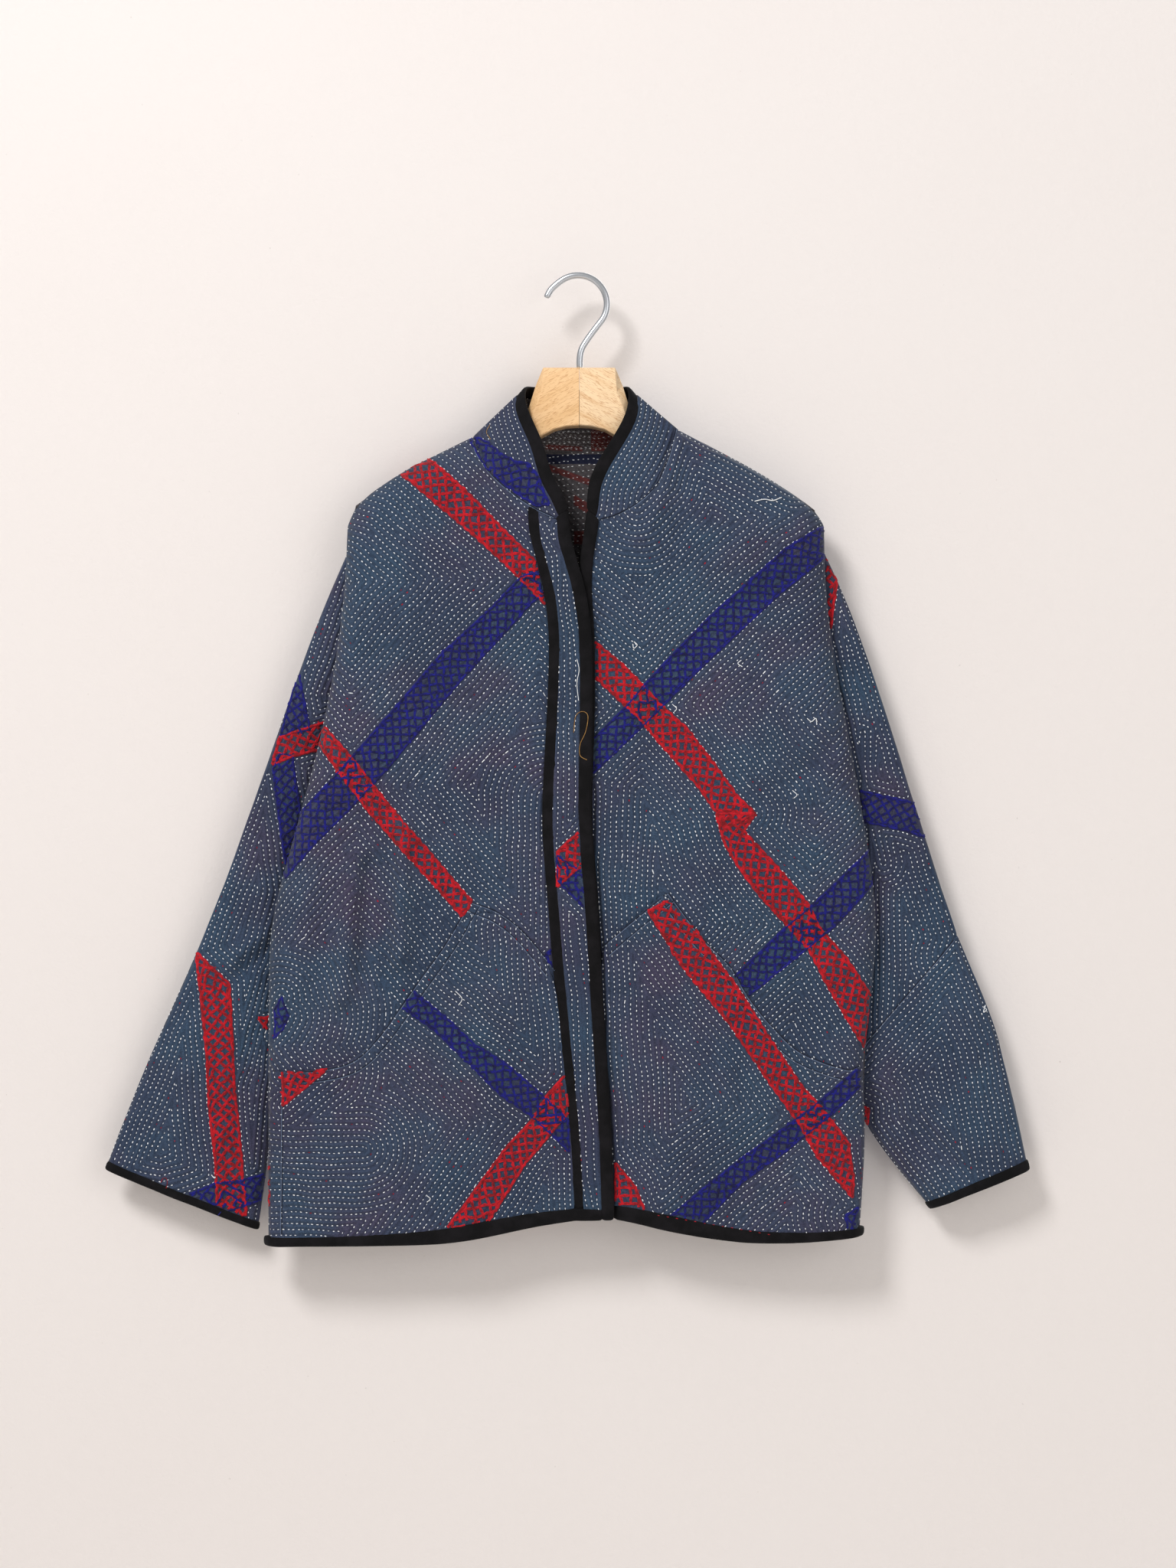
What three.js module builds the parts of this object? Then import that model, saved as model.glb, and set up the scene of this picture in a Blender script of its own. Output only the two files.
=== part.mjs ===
// A quilted jacket with a stand collar and an overlapping front, hung on a wooden hanger.
// Millimetres, +Z up. The front faces -Y and the wall is on the +Y side. The origin is the
// inner top of the hook's bend, where the hook rests on its pin or rail.
// Left and right are the wearer's: the right front lies at -X, on top of the left one.

import * as THREE from 'three';

// ---------------------------------------------------------------- driving dimensions

const CLOTH = 2.4; // two quilted layers
const SEAM = 0.3; // gap between pieces sewn edge to edge
const TAPE_GAP = 0.5; // gap between a cloth and its thicker tape
const LAY_ON = CLOTH + 0.6; // from a panel's middle to the middle of a piece that lies on it
const TAPE_WIDTH = 9.5; // folded bias binding
const TAPE_ROUND_ONE = 4.2; // thickness of a binding folded round one cloth
const TAPE_ROUND_TWO = 7; // round a panel and the piece that lies on it
const PLACKET_WIDTH = 25; // at the ends of the placket strip, from its tape's outer edge
const PLACKET_SWELL = 8; // how much wider the strip is in its middle
const FOLD_RADIUS = 18; // across the panel, at the folded sides
const RIDGE_RADIUS = 30; // down the front, over the shoulder
const BACK_RIDGE_RADIUS = 24;
const LAP_DROP = 9; // how far the left front's edge sinks to pass under the right one
const LAP_REACH = 34; // across which it sinks
const ARMHOLE_LIP = 4.5; // how far the front's edge stands forward where the sleeve comes out
const ARMHOLE_FOOT = -440; // height of the underarm
const ARMHOLE_INSET = 9; // the back's armhole edge, in from the folded side
const ARMHOLE_FOOT_INSET = 15; // and at the underarm
const SIDE_LAP = 14; // how wide the sides lie flat, in front of the sleeves
const SEAM_DEPTH = SEAM / 2 + 0.1; // of each wall from the hanger's plane where two walls are sewn

// Depths of the two walls from the hanger's plane, by height.
const FRONT_DEPTH = [[-890, 19], [-620, 21], [-400, 24], [-230, 24], [-90, 22]];
const BACK_DEPTH = [[-890, 13], [-440, 16], [-230, 16], [-90, 15]];

// Outlines as [x, z]. The ridge runs over both shoulders, and through the neck as the collar leans.
const RIDGE = [
  [-213, -234], [-204, -213], [-163, -181], [-97, -147], [-50, -112], [0, -96],
  [50, -108], [90, -139], [167, -181], [218, -217], [227, -232],
];
// The folded sides, as [z, x].
const RIGHT_SIDE = [
  [-892, -284], [-730, -284], [-603, -283], [-535, -266], [-412, -233], [-360, -223], [-284, -213],
  [-231, -211],
];
const LEFT_SIDE = [
  [-892, 257], [-782, 263], [-703, 260], [-674, 267], [-603, 274], [-466, 256], [-366, 237],
  [-284, 226], [-229, 225],
];
// The bound front edges, as [z, x].
const RIGHT_EDGE = [
  [-870, 32], [-803, 30], [-687, 23], [-557, 15], [-500, 10], [-384, 12], [-309, 11], [-281, 4],
  [-242, -8], [-216, -10],
];
const LEFT_EDGE = [
  [-870, 23], [-803, 22], [-687, 15], [-557, 7], [-500, 2], [-384, 5], [-309, 4.5], [-270, -1],
  [-242, 6], [-217, 9],
];
// Neck seams, from the shoulders' inner ends.
const RIGHT_NECK = [
  [-97, -147], [-92, -164], [-79, -183], [-60, -200], [-41, -213], [-20, -223], [-10, -216],
];
const LEFT_NECK = [
  [9, -217], [18, -224], [34, -220], [53, -210], [70, -194], [82, -170], [90, -139],
];
const BACK_NECK = [[-97, -147], [-60, -157], [0, -160], [56, -155], [90, -139]];
const NECK_RIGHT_X = RIGHT_NECK[0][0];
const NECK_LEFT_X = LEFT_NECK.at(-1)[0];
// Mouths of the patch pockets with the seam that joins them to the front edge.
const RIGHT_POCKET = [
  [-286, -730], [-233, -728], [-203, -719], [-178, -694], [-150, -654], [-120, -612], [-98, -574],
  [-73, -584], [-50, -602], [-20, -637], [34, -680],
];
const LEFT_POCKET = [
  [-4, -634], [23, -615], [45, -596], [82, -566], [112, -606], [139, -634], [155, -661],
  [176, -687], [203, -712], [243, -727], [276, -722],
];
const HEM = [
  [-290, -889], [-127, -886], [-62, -875], [-1, -864], [34, -864], [88, -875], [167, -885],
  [214, -884], [262, -879],
];
const BACK_HEM_RISE = 6;

// Stations down each sleeve: the outer and the inner edge, as [x, z].
const RIGHT_SLEEVE = [
  [[-204, -235], [-231, -440]],
  [[-242, -323], [-246, -492]],
  [[-285, -444], [-261, -562]],
  [[-321, -545], [-272, -634]],
  [[-353, -627], [-279, -707]],
  [[-400, -731], [-286, -794]],
  [[-435, -821], [-297, -877]],
];
const LEFT_SLEEVE = [
  [[217, -234], [240, -440]],
  [[248, -300], [252, -500]],
  [[285, -405], [262, -570]],
  [[317, -509], [264, -645]],
  [[349, -606], [256, -718]],
  [[388, -702], [268, -784]],
  [[415, -821], [326, -857]],
];
const LEFT_SLEEVE_SEAM = 4 / 6; // the station at which the left sleeve is pieced
const SLEEVE_LENGTH = 530;
const SLEEVE_STEPS = 13; // down a whole sleeve
const LEFT_UPPER_STEPS = 9;
const LEFT_END_STEPS = 5;
const SLEEVE_SIDES = 20;
const SLEEVE_OUTER_Y = [4, 8]; // middle of the tube at its outer edge, at the armhole and the cuff
const SLEEVE_INNER_Y = [16, 14];
const SLEEVE_HALF = 8.5; // half the thickness of the hollow tube
const LEFT_CUFF_HALF = 15; // the left cuff is rounder

// Upper edge of the collar, once round from the right front's end to the left front's.
const COLLAR_TOP = [
  [-10, -26, -214.5], [-15, -27, -202], [-25, -27, -184], [-31, -26, -164], [-39, -23, -140],
  [-51, -17, -117], [-50, -2, -103], [-44, 13, -100], [-25, 20, -101], [0, 22, -102],
  [25, 20, -101], [43, 13, -100], [48, -2, -103], [51, -17, -117], [41, -23, -139],
  [26, -26, -161], [13, -27, -184], [10, -26, -202], [9, -25, -215.5],
];
const COLLAR_FRONT_SHARE = 6 / 18; // of its length, on each front
const COLLAR_FOOT_GAP = 1.9; // the collar leans, so its foot needs more room than a flat seam
const COLLAR_TAPE_GAP = 0.9; // and so does the tape on its bent upper edge

// Hanger: wire hook, and two halves of wood glued at the middle.
const WIRE_RADIUS = 2.55;
const HOOK_RADIUS = 26.6; // of the wire's middle
const WIRE_SIDES = 10;
const BLOCK_TOP = -84;
const GLUE_LINE_X = 1;
// Sections of a half: distance from the middle, top, underside, half thickness, chamfer across, down.
const WOOD_SECTIONS = [
  [0.15, BLOCK_TOP, -137, 12, 1, 1],
  [12, BLOCK_TOP, -137.8, 12, 1, 1],
  [23, BLOCK_TOP, -140.6, 12, 1, 1],
  [33, BLOCK_TOP, -146, 12, 1, 1],
  [34.5, -86.5, -147, 12, 6, 20],
  [40, -100, -149, 12, 6, 20],
  [46, -119, -152, 11.5, 6, 16],
  [52, -129, -155, 10, 5, 8],
  [78, -152, -173, 8.5, 5, 6],
  [98, -163, -184, 9, 5, 6],
  [130, -176, -203, 9, 5, 6],
  [165, -190, -220, 9, 5, 6],
  [188, -206, -231, 8, 4, 6],
  [194, -213, -228, 6, 3, 5],
];

// ---------------------------------------------------------------- helpers

const lerp = THREE.MathUtils.lerp;
const smooth = (value, from, to) => THREE.MathUtils.smoothstep(value, from, to);
const fade = (value, from, to) => 1 - smooth(value, from, to);

// A smooth function through [place, value] pairs with rising places. Its slopes are limited,
// so that it never swings past the values it joins.
function through(pairs) {
  const slopes = pairs.slice(1).map((pair, i) => (pair[1] - pairs[i][1]) / (pair[0] - pairs[i][0]));
  const tangents = pairs.map((_, i) => {
    const before = slopes[Math.max(i - 1, 0)];
    const after = slopes[Math.min(i, slopes.length - 1)];
    return before * after > 0 ? (2 * before * after) / (before + after) : 0;
  });
  return (place) => {
    const last = pairs.length - 2;
    const found = pairs.findIndex((pair) => pair[0] > place) - 1;
    const i = place >= pairs[last + 1][0] ? last : Math.max(found, 0);
    const [x0, y0] = pairs[i];
    const [x1, y1] = pairs[i + 1];
    const span = x1 - x0;
    const t = THREE.MathUtils.clamp((place - x0) / span, 0, 1);
    const rise = y1 - y0;
    const bend = t * t * (3 - 2 * t);
    const start = t * (1 - t) * (1 - t) * span * tangents[i];
    const end = t * t * (1 - t) * span * tangents[i + 1];
    return y0 + bend * rise + start - end;
  };
}

// A quarter round: 0 at the edge, 1 from one radius in.
function quarterRound(share) {
  const left = 1 - THREE.MathUtils.clamp(share, 0, 1);
  return Math.sqrt(1 - left * left);
}

// Distances at which a quarter round of this radius is cut into four even turns.
function roundSteps(radius) {
  return [0, 1, 2, 3, 4].map((step) => radius * (1 - Math.cos((step * Math.PI) / 8)));
}

function evenly(from, to, steps) {
  return Array.from({ length: steps + 1 }, (_, i) => lerp(from, to, i / steps));
}

// Directions out of a grid of points, on the side that outward(point) faces.
function gridNormals(points, outward, closed = false) {
  const rows = points.length;
  const columns = points[0].length;
  const column = (c) => (closed ? (c + columns) % columns : THREE.MathUtils.clamp(c, 0, columns - 1));
  return points.map((row, r) => row.map((point, c) => {
    const down = points[Math.min(r + 1, rows - 1)][c].clone().sub(points[Math.max(r - 1, 0)][c]);
    const across = row[column(c + 1)].clone().sub(row[column(c - 1)]);
    const normal = down.cross(across).normalize();
    return normal.dot(outward(point)) < 0 ? normal.negate() : normal;
  }));
}

function signedVolume(positions, indices) {
  const corner = (i) => new THREE.Vector3().fromArray(positions, indices[i] * 3);
  let volume = 0;
  for (let i = 0; i < indices.length; i += 3) {
    volume += corner(i).dot(corner(i + 1).cross(corner(i + 2))) / 6;
  }
  return volume;
}

function closedGeometry(positions, indices) {
  if (signedVolume(positions, indices) < 0) indices.reverse();
  const geometry = new THREE.BufferGeometry();
  geometry.setAttribute('position', new THREE.Float32BufferAttribute(positions, 3));
  geometry.setIndex(indices);
  return geometry;
}

// A cloth of even thickness on a grid of points, moved out by lift. closed joins its last column
// to its first, which makes an open-ended tube.
function wall({ points, normals }, { lift = 0, thickness = CLOTH, closed = false } = {}) {
  const rows = points.length;
  const columns = points[0].length;
  const positions = [];
  for (const side of [lift + thickness / 2, lift - thickness / 2]) {
    points.forEach((row, r) => row.forEach((point, c) => {
      positions.push(...point.clone().addScaledVector(normals[r][c], side).toArray());
    }));
  }
  const outer = (r, c) => r * columns + (c % columns);
  const inner = (r, c) => rows * columns + outer(r, c);
  const indices = [];
  const quad = (a, b, c, d) => indices.push(a, b, c, a, c, d);
  const spans = closed ? columns : columns - 1;
  for (let r = 0; r < rows - 1; r += 1) {
    for (let c = 0; c < spans; c += 1) {
      quad(outer(r, c), outer(r, c + 1), outer(r + 1, c + 1), outer(r + 1, c));
      quad(inner(r, c), inner(r + 1, c), inner(r + 1, c + 1), inner(r, c + 1));
    }
  }
  for (let c = 0; c < spans; c += 1) {
    quad(outer(0, c + 1), outer(0, c), inner(0, c), inner(0, c + 1));
    quad(outer(rows - 1, c), outer(rows - 1, c + 1), inner(rows - 1, c + 1), inner(rows - 1, c));
  }
  if (!closed) {
    for (let r = 0; r < rows - 1; r += 1) {
      const last = columns - 1;
      quad(outer(r, 0), outer(r + 1, 0), inner(r + 1, 0), inner(r, 0));
      quad(outer(r + 1, last), outer(r, last), inner(r, last), inner(r + 1, last));
    }
  }
  return closedGeometry(positions, indices);
}

// Two rows or columns a seam's gap apart get one normal, so that pieces on both stay apart.
function shareAcrossSeams(points, normals) {
  const near = (a, b) => a.distanceTo(b) < 3 * SEAM;
  const join = (a, b) => {
    const middle = a.clone().add(b).normalize();
    a.copy(middle);
    b.copy(middle);
  };
  points.forEach((row, r) => row.forEach((point, c) => {
    if (c > 0 && near(point, row[c - 1])) join(normals[r][c], normals[r][c - 1]);
  }));
  points.slice(1).forEach((row, r) => row.forEach((point, c) => {
    if (near(point, points[r][c])) join(normals[r + 1][c], normals[r][c]);
  }));
}

// The part of a grid between two rows and two columns, both included.
function cut({ points, normals }, rowFrom, rowTo, columnFrom, columnTo) {
  const take = (grid) => grid.slice(rowFrom, rowTo + 1).map((row) => row.slice(columnFrom, columnTo + 1));
  return { points: take(points), normals: take(normals) };
}

// ---------------------------------------------------------------- the form of the body

const ridgeZ = through(RIDGE);
const hemZ = through(HEM);
const frontMiddle = through(FRONT_DEPTH);
const backMiddle = through(BACK_DEPTH);
const rightSideX = through(RIGHT_SIDE);
const leftSideX = through(LEFT_SIDE);
const rightEdgeX = through(RIGHT_EDGE);
const leftEdgeX = through(LEFT_EDGE);

// A panel's upper edge: the shoulder, and its neck seam between the neck points.
function topZ(neck) {
  const seam = through(neck);
  return (x) => (x > NECK_RIGHT_X && x < NECK_LEFT_X ? seam(x) : ridgeZ(x));
}
const rightTopZ = topZ(RIGHT_NECK);
const leftTopZ = topZ(LEFT_NECK);
const backTopZ = topZ(BACK_NECK);

// 1 beside the armholes and 0 where the sides are closed.
const armholeOpen = (z) => smooth(z, ARMHOLE_FOOT, ARMHOLE_FOOT + 40);

function fromSide(x, z) {
  return Math.max(Math.min(x - rightSideX(z), leftSideX(z) - x), 0);
}

// Soft folds that hang in the fronts: [top x, z], [foot x, z], width, height.
const FOLDS = [
  [[-205, -545], [-213, -660], 15, 3.5],
  [[-160, -520], [-165, -640], 14, 2.5],
  [[-245, -600], [-252, -800], 18, 3],
  [[88, -160], [64, -290], 12, 3],
  [[236, -425], [196, -470], 16, -2.5],
  [[128, -690], [134, -800], 16, 2.5],
  [[-90, -300], [-120, -430], 34, 1.5],
  [[140, -300], [150, -460], 34, 1.5],
];

function foldHeight(x, z) {
  const point = new THREE.Vector2(x, z);
  return FOLDS.reduce((height, [top, foot, width, rise]) => {
    const start = new THREE.Vector2(...top);
    const line = new THREE.Vector2(...foot).sub(start);
    const share = point.clone().sub(start).dot(line) / line.lengthSq();
    const nearest = start.clone().addScaledVector(line, THREE.MathUtils.clamp(share, 0, 1));
    const away = nearest.distanceTo(point) / width;
    return height + rise * Math.exp(-away * away);
  }, 0);
}

function frontDepth(x, z) {
  const lip = lerp(SEAM_DEPTH, ARMHOLE_LIP, smooth(z, ARMHOLE_FOOT - 30, ARMHOLE_FOOT + 20));
  const inward = quarterRound(fromSide(x, z) / FOLD_RADIUS);
  const level = lerp(lip, frontMiddle(z) + foldHeight(x, z), inward);
  return Math.max(level * quarterRound((ridgeZ(x) - z) / RIDGE_RADIUS), SEAM_DEPTH);
}

// The left front's edge sinks under the right one below the open neck.
function lapDrop(x, z) {
  const reach = fade(x, leftEdgeX(z) + 6, leftEdgeX(z) + LAP_REACH);
  return LAP_DROP * reach * fade(z, -275, -235);
}

function backDepth(x, z) {
  const side = fromSide(x, z);
  const flat = lerp(SEAM_DEPTH, 1.6, smooth(side, 0, SIDE_LAP / 2));
  const closed = lerp(flat, backMiddle(z), smooth(side, SIDE_LAP, SIDE_LAP + 40));
  const level = lerp(closed, backMiddle(z), armholeOpen(z));
  return Math.max(level * quarterRound((ridgeZ(x) - z) / BACK_RIDGE_RADIUS), SEAM_DEPTH);
}

// A panel's grid. rows are heights between three cross lines: 0 is the top, 1 the middle one and
// 2 the hem. columns(width) gives distances across from the start edge.
function panelGrid({ startX, endX, top, middle, hem, rows, columns, depth }) {
  const height = (x, share) => (
    share < 1 ? lerp(top(x), middle(x), share) : lerp(middle(x), hem(x), share - 1)
  );
  // A point's column depends on its height and its height on its column, so both are found in turn.
  const place = (share, index) => {
    let x = lerp(startX(-500), endX(-500), 0.5);
    let z = height(x, share);
    for (let pass = 0; pass < 30; pass += 1) {
      const start = startX(z);
      const width = endX(z) - start;
      x = start + columns(Math.abs(width), z)[index] * Math.sign(width);
      z = lerp(z, height(x, share), 0.6);
    }
    return new THREE.Vector3(x, depth(x, z), z);
  };
  const count = columns(500, -500).length;
  return rows.map((share) => (
    Array.from({ length: count }, (_, index) => place(share, index))
  ));
}

// Where an edge is sewn to its neighbour face to face, the cloth's thickness turns into the
// panel's plane, so that the two edges stay apart.
function turnEdge(normal) {
  return new THREE.Vector3(normal.x, 0, normal.z).normalize();
}

const UPPER_HEIGHT = 430; // of a front from the shoulder to its pocket, and from there to the hem
const LOWER_HEIGHT = 215;
const TOP_ROWS = roundSteps(RIDGE_RADIUS).map((distance) => distance / UPPER_HEIGHT);
const UPPER_ROWS = evenly(TOP_ROWS.at(-1), 1, 10).slice(1);
const HEM_SHARE = TAPE_WIDTH / LOWER_HEIGHT;
const HEM_ROWS = [2 - HEM_SHARE - TAPE_GAP / LOWER_HEIGHT, 2 - HEM_SHARE, 2];
const LOWER_ROWS = evenly(1, HEM_ROWS[0], 5).slice(1);
const FRONT_ROWS = [...TOP_ROWS, ...UPPER_ROWS, ...LOWER_ROWS.slice(0, -1), ...HEM_ROWS];
const POCKET_ROW = TOP_ROWS.length + UPPER_ROWS.length - 1;
const LAST_ROW = FRONT_ROWS.length - 3; // of the cloth, above the hem tape

const FOLD_STEPS = roundSteps(FOLD_RADIUS);
const BODY_STEPS = 8; // across a front, between its folded side and its strip or edge
const RIGHT_BEFORE_NECK = 5; // of them, on the shoulder's side of the neck point
const LEFT_BEFORE_NECK = 6;
const RIGHT_NECK_SHARE = 0.645; // place of the neck point across them
const LEFT_NECK_SHARE = 0.745;
const PLACKET_TAPE_WIDTH = 8;

// Body columns, of which one runs down from the neck point.
function bodySteps(from, to, neckShare, beforeNeck) {
  const neck = lerp(from, to, neckShare);
  return [
    ...evenly(from, neck, beforeNeck).slice(1),
    ...evenly(neck, to, BODY_STEPS - beforeNeck).slice(1),
  ];
}

function placketWidth(z) {
  return PLACKET_WIDTH + PLACKET_SWELL * Math.sin(Math.PI * smooth(-z, 225, 880));
}

// Across the right front: fold, body, tape and strip of the placket, edge tape.
function rightColumns(width, z) {
  const strip = width - TAPE_WIDTH - placketWidth(z);
  const tapeEnd = strip + PLACKET_TAPE_WIDTH;
  const edge = width - TAPE_WIDTH;
  const body = bodySteps(FOLD_RADIUS, strip - SEAM, RIGHT_NECK_SHARE, RIGHT_BEFORE_NECK);
  const placket = [strip, tapeEnd, tapeEnd + SEAM, (tapeEnd + edge) / 2, edge - TAPE_GAP];
  return [...FOLD_STEPS, ...body, ...placket, edge, width];
}
const STRIP_COLUMN = FOLD_STEPS.length + BODY_STEPS;
const RIGHT_LAST = STRIP_COLUMN + 4;

// Across the left front: fold, body, edge tape.
function leftColumns(width) {
  const edge = width - TAPE_WIDTH;
  const body = bodySteps(FOLD_RADIUS, edge - LAP_REACH, LEFT_NECK_SHARE, LEFT_BEFORE_NECK);
  return [...FOLD_STEPS, ...body, edge - LAP_REACH / 2, edge - TAPE_GAP, edge, width];
}
const LEFT_LAST = FOLD_STEPS.length + BODY_STEPS + 1;
const POCKET_COLUMN = 2; // pockets start this many columns in from the fold

function dressGrid(points) {
  const facing = Math.sign(points[0][0].y);
  const normals = gridNormals(points, () => new THREE.Vector3(0, facing, 0));
  points.forEach((row, r) => row.forEach((point, c) => {
    const atSeam = Math.abs(point.y) < 2 * SEAM_DEPTH;
    if (atSeam && (r === 0 || point.z < ARMHOLE_FOOT)) normals[r][c] = turnEdge(normals[r][c]);
  }));
  shareAcrossSeams(points, normals);
  return { points, normals };
}

function rightFrontGrid() {
  const points = panelGrid({
    startX: rightSideX, endX: rightEdgeX, top: rightTopZ, middle: through(RIGHT_POCKET), hem: hemZ,
    rows: FRONT_ROWS, columns: rightColumns, depth: (x, z) => -frontDepth(x, z),
  });
  return dressGrid(points);
}

function leftFrontGrid() {
  const points = panelGrid({
    startX: leftSideX, endX: leftEdgeX, top: leftTopZ, middle: through(LEFT_POCKET), hem: hemZ,
    rows: FRONT_ROWS, columns: leftColumns, depth: (x, z) => lapDrop(x, z) - frontDepth(x, z),
  });
  return dressGrid(points);
}

// The back's sides run down the armholes, in from the folded sides, and join the fronts below.
function armholeInset(z) {
  const beside = lerp(ARMHOLE_FOOT_INSET, ARMHOLE_INSET, smooth(z, ARMHOLE_FOOT, ARMHOLE_FOOT + 70));
  return beside * smooth(z, ARMHOLE_FOOT - 30, ARMHOLE_FOOT);
}
const BACK_MIDDLE_Z = -560; // height of its middle cross line
const BACK_UPPER_HEIGHT = 360;
const BACK_LOWER_HEIGHT = 320;
const BACK_EDGE_STEPS = [0, SIDE_LAP / 2, SIDE_LAP, SIDE_LAP + 20, SIDE_LAP + 40];
const BACK_NECK_SHARES = [0.165, 0.77]; // places of the neck points between those edge columns
const BACK_NECK_STEPS = 6;
const BACK_RIGHT_NECK = BACK_EDGE_STEPS.length + 1; // column of the right neck point

function backGrid() {
  const across = (width) => {
    const last = BACK_EDGE_STEPS.at(-1);
    const rightNeck = lerp(last, width - last, BACK_NECK_SHARES[0]);
    const leftNeck = lerp(last, width - last, BACK_NECK_SHARES[1]);
    const middle = [
      ...evenly(last, rightNeck, 2).slice(1),
      ...evenly(rightNeck, leftNeck, BACK_NECK_STEPS).slice(1),
      ...evenly(leftNeck, width - last, 2).slice(1, -1),
    ];
    return [...BACK_EDGE_STEPS, ...middle, ...BACK_EDGE_STEPS.map((step) => width - step).reverse()];
  };
  const shoulderRows = roundSteps(BACK_RIDGE_RADIUS).map((distance) => distance / BACK_UPPER_HEIGHT);
  const tapeRow = 2 - TAPE_WIDTH / BACK_LOWER_HEIGHT;
  const lastClothRow = tapeRow - TAPE_GAP / BACK_LOWER_HEIGHT;
  const points = panelGrid({
    startX: (z) => rightSideX(z) + armholeInset(z),
    endX: (z) => leftSideX(z) - armholeInset(z),
    top: backTopZ,
    middle: () => BACK_MIDDLE_Z,
    hem: (x) => hemZ(x) + BACK_HEM_RISE,
    rows: [
      ...shoulderRows,
      ...evenly(shoulderRows.at(-1), 1, 9).slice(1),
      ...evenly(1, lastClothRow, 5).slice(1),
      tapeRow,
      2,
    ],
    columns: across,
    depth: backDepth,
  });
  return dressGrid(points);
}

// ---------------------------------------------------------------- sleeves, collar, hanger

// An open tube from one station of a sleeve to another, both from 0 to 1.
function sleeveGrid(stations, from, to, steps, cuffHalf) {
  const curve = (which) => new THREE.SplineCurve(
    stations.map((pair) => new THREE.Vector2(...pair[which])),
  );
  const outer = curve(0);
  const inner = curve(1);
  const points = evenly(from, to, steps).map((share) => {
    const a = outer.getPoint(share);
    const b = inner.getPoint(share);
    const half = lerp(SLEEVE_HALF, cuffHalf, smooth(share, 0.6, 1));
    return Array.from({ length: SLEEVE_SIDES }, (_, side) => {
      const turn = (side / SLEEVE_SIDES) * Math.PI * 2;
      const across = (1 - Math.cos(turn)) / 2;
      const swell = Math.sign(Math.sin(turn)) * Math.abs(Math.sin(turn)) ** 0.75;
      const middle = lerp(lerp(...SLEEVE_OUTER_Y, share), lerp(...SLEEVE_INNER_Y, share), across);
      const flat = a.clone().lerp(b, across);
      return new THREE.Vector3(flat.x, middle - half * swell, flat.y);
    });
  });
  const heart = points.map((ring) => (
    ring.reduce((sum, point) => sum.add(point), new THREE.Vector3()).divideScalar(ring.length)
  ));
  const rowOf = new Map(points.flatMap((ring, r) => ring.map((point) => [point, r])));
  const outward = (point) => point.clone().sub(heart[rowOf.get(point)]);
  return { points, normals: gridNormals(points, outward, true) };
}

// Points of the neck seam that are well apart, each with its share of the collar's length.
function neckSeam(points, from, to) {
  const kept = points.filter((point, i) => i === 0 || point.distanceTo(points[i - 1]) > 3 * SEAM);
  const along = [0];
  kept.slice(1).forEach((point, i) => along.push(along[i] + point.distanceTo(kept[i])));
  return kept.map((point, i) => ({ foot: point, share: lerp(from, to, along[i] / along.at(-1)) }));
}

function halfway(a, b) {
  return { foot: a.foot.clone().lerp(b.foot, 0.5), share: (a.share + b.share) / 2 };
}

// The collar from its seam to its upper edge, on the panels' own points.
function collarGrid(right, back, left) {
  const share = COLLAR_FRONT_SHARE;
  const rightPoints = right.points[0].slice(FOLD_STEPS.length + RIGHT_BEFORE_NECK - 1, RIGHT_LAST + 1);
  const backPoints = back.points[0].slice(BACK_RIGHT_NECK, BACK_RIGHT_NECK + BACK_NECK_STEPS + 1);
  const leftPoints = left.points[0].slice(FOLD_STEPS.length + LEFT_BEFORE_NECK - 1, LEFT_LAST + 1);
  const seam = [
    ...neckSeam(rightPoints.reverse(), 0, share),
    ...neckSeam(backPoints, share, 1 - share).slice(1, -1),
    ...neckSeam(leftPoints, 1 - share, 1),
  ];
  const top = new THREE.CatmullRomCurve3(COLLAR_TOP.map((point) => new THREE.Vector3(...point)));
  const halved = seam.flatMap((point, i) => (i ? [halfway(seam[i - 1], point), point] : [point]));
  const columns = halved.map(({ foot, share: place }) => {
    const edge = top.getPoint(place);
    const height = foot.distanceTo(edge);
    const taped = 1 - TAPE_WIDTH / height;
    const start = Math.min(COLLAR_FOOT_GAP / height, taped / 3);
    const steps = [start, (start + taped) / 2, taped - COLLAR_TAPE_GAP / height, taped, 1];
    return steps.map((step) => foot.clone().lerp(edge, step));
  });
  const points = columns[0].map((_, row) => columns.map((column) => column[row]));
  const heart = new THREE.Vector3(0, 0, -150);
  const normals = gridNormals(points, (point) => point.clone().sub(heart).setZ(0));
  shareAcrossSeams(points, normals);
  return { points, normals };
}

// One closed solid through rings of points, with flat ends.
function loft(rings) {
  const sides = rings[0].length;
  const positions = rings.flat().flatMap((point) => point.toArray());
  const at = (r, s) => r * sides + (s % sides);
  const indices = [];
  for (let r = 0; r < rings.length - 1; r += 1) {
    for (let s = 0; s < sides; s += 1) {
      indices.push(at(r, s), at(r, s + 1), at(r + 1, s + 1), at(r, s), at(r + 1, s + 1), at(r + 1, s));
    }
  }
  for (let s = 1; s < sides - 1; s += 1) {
    indices.push(at(0, 0), at(0, s + 1), at(0, s));
    indices.push(at(rings.length - 1, 0), at(rings.length - 1, s), at(rings.length - 1, s + 1));
  }
  return closedGeometry(positions, indices);
}

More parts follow.
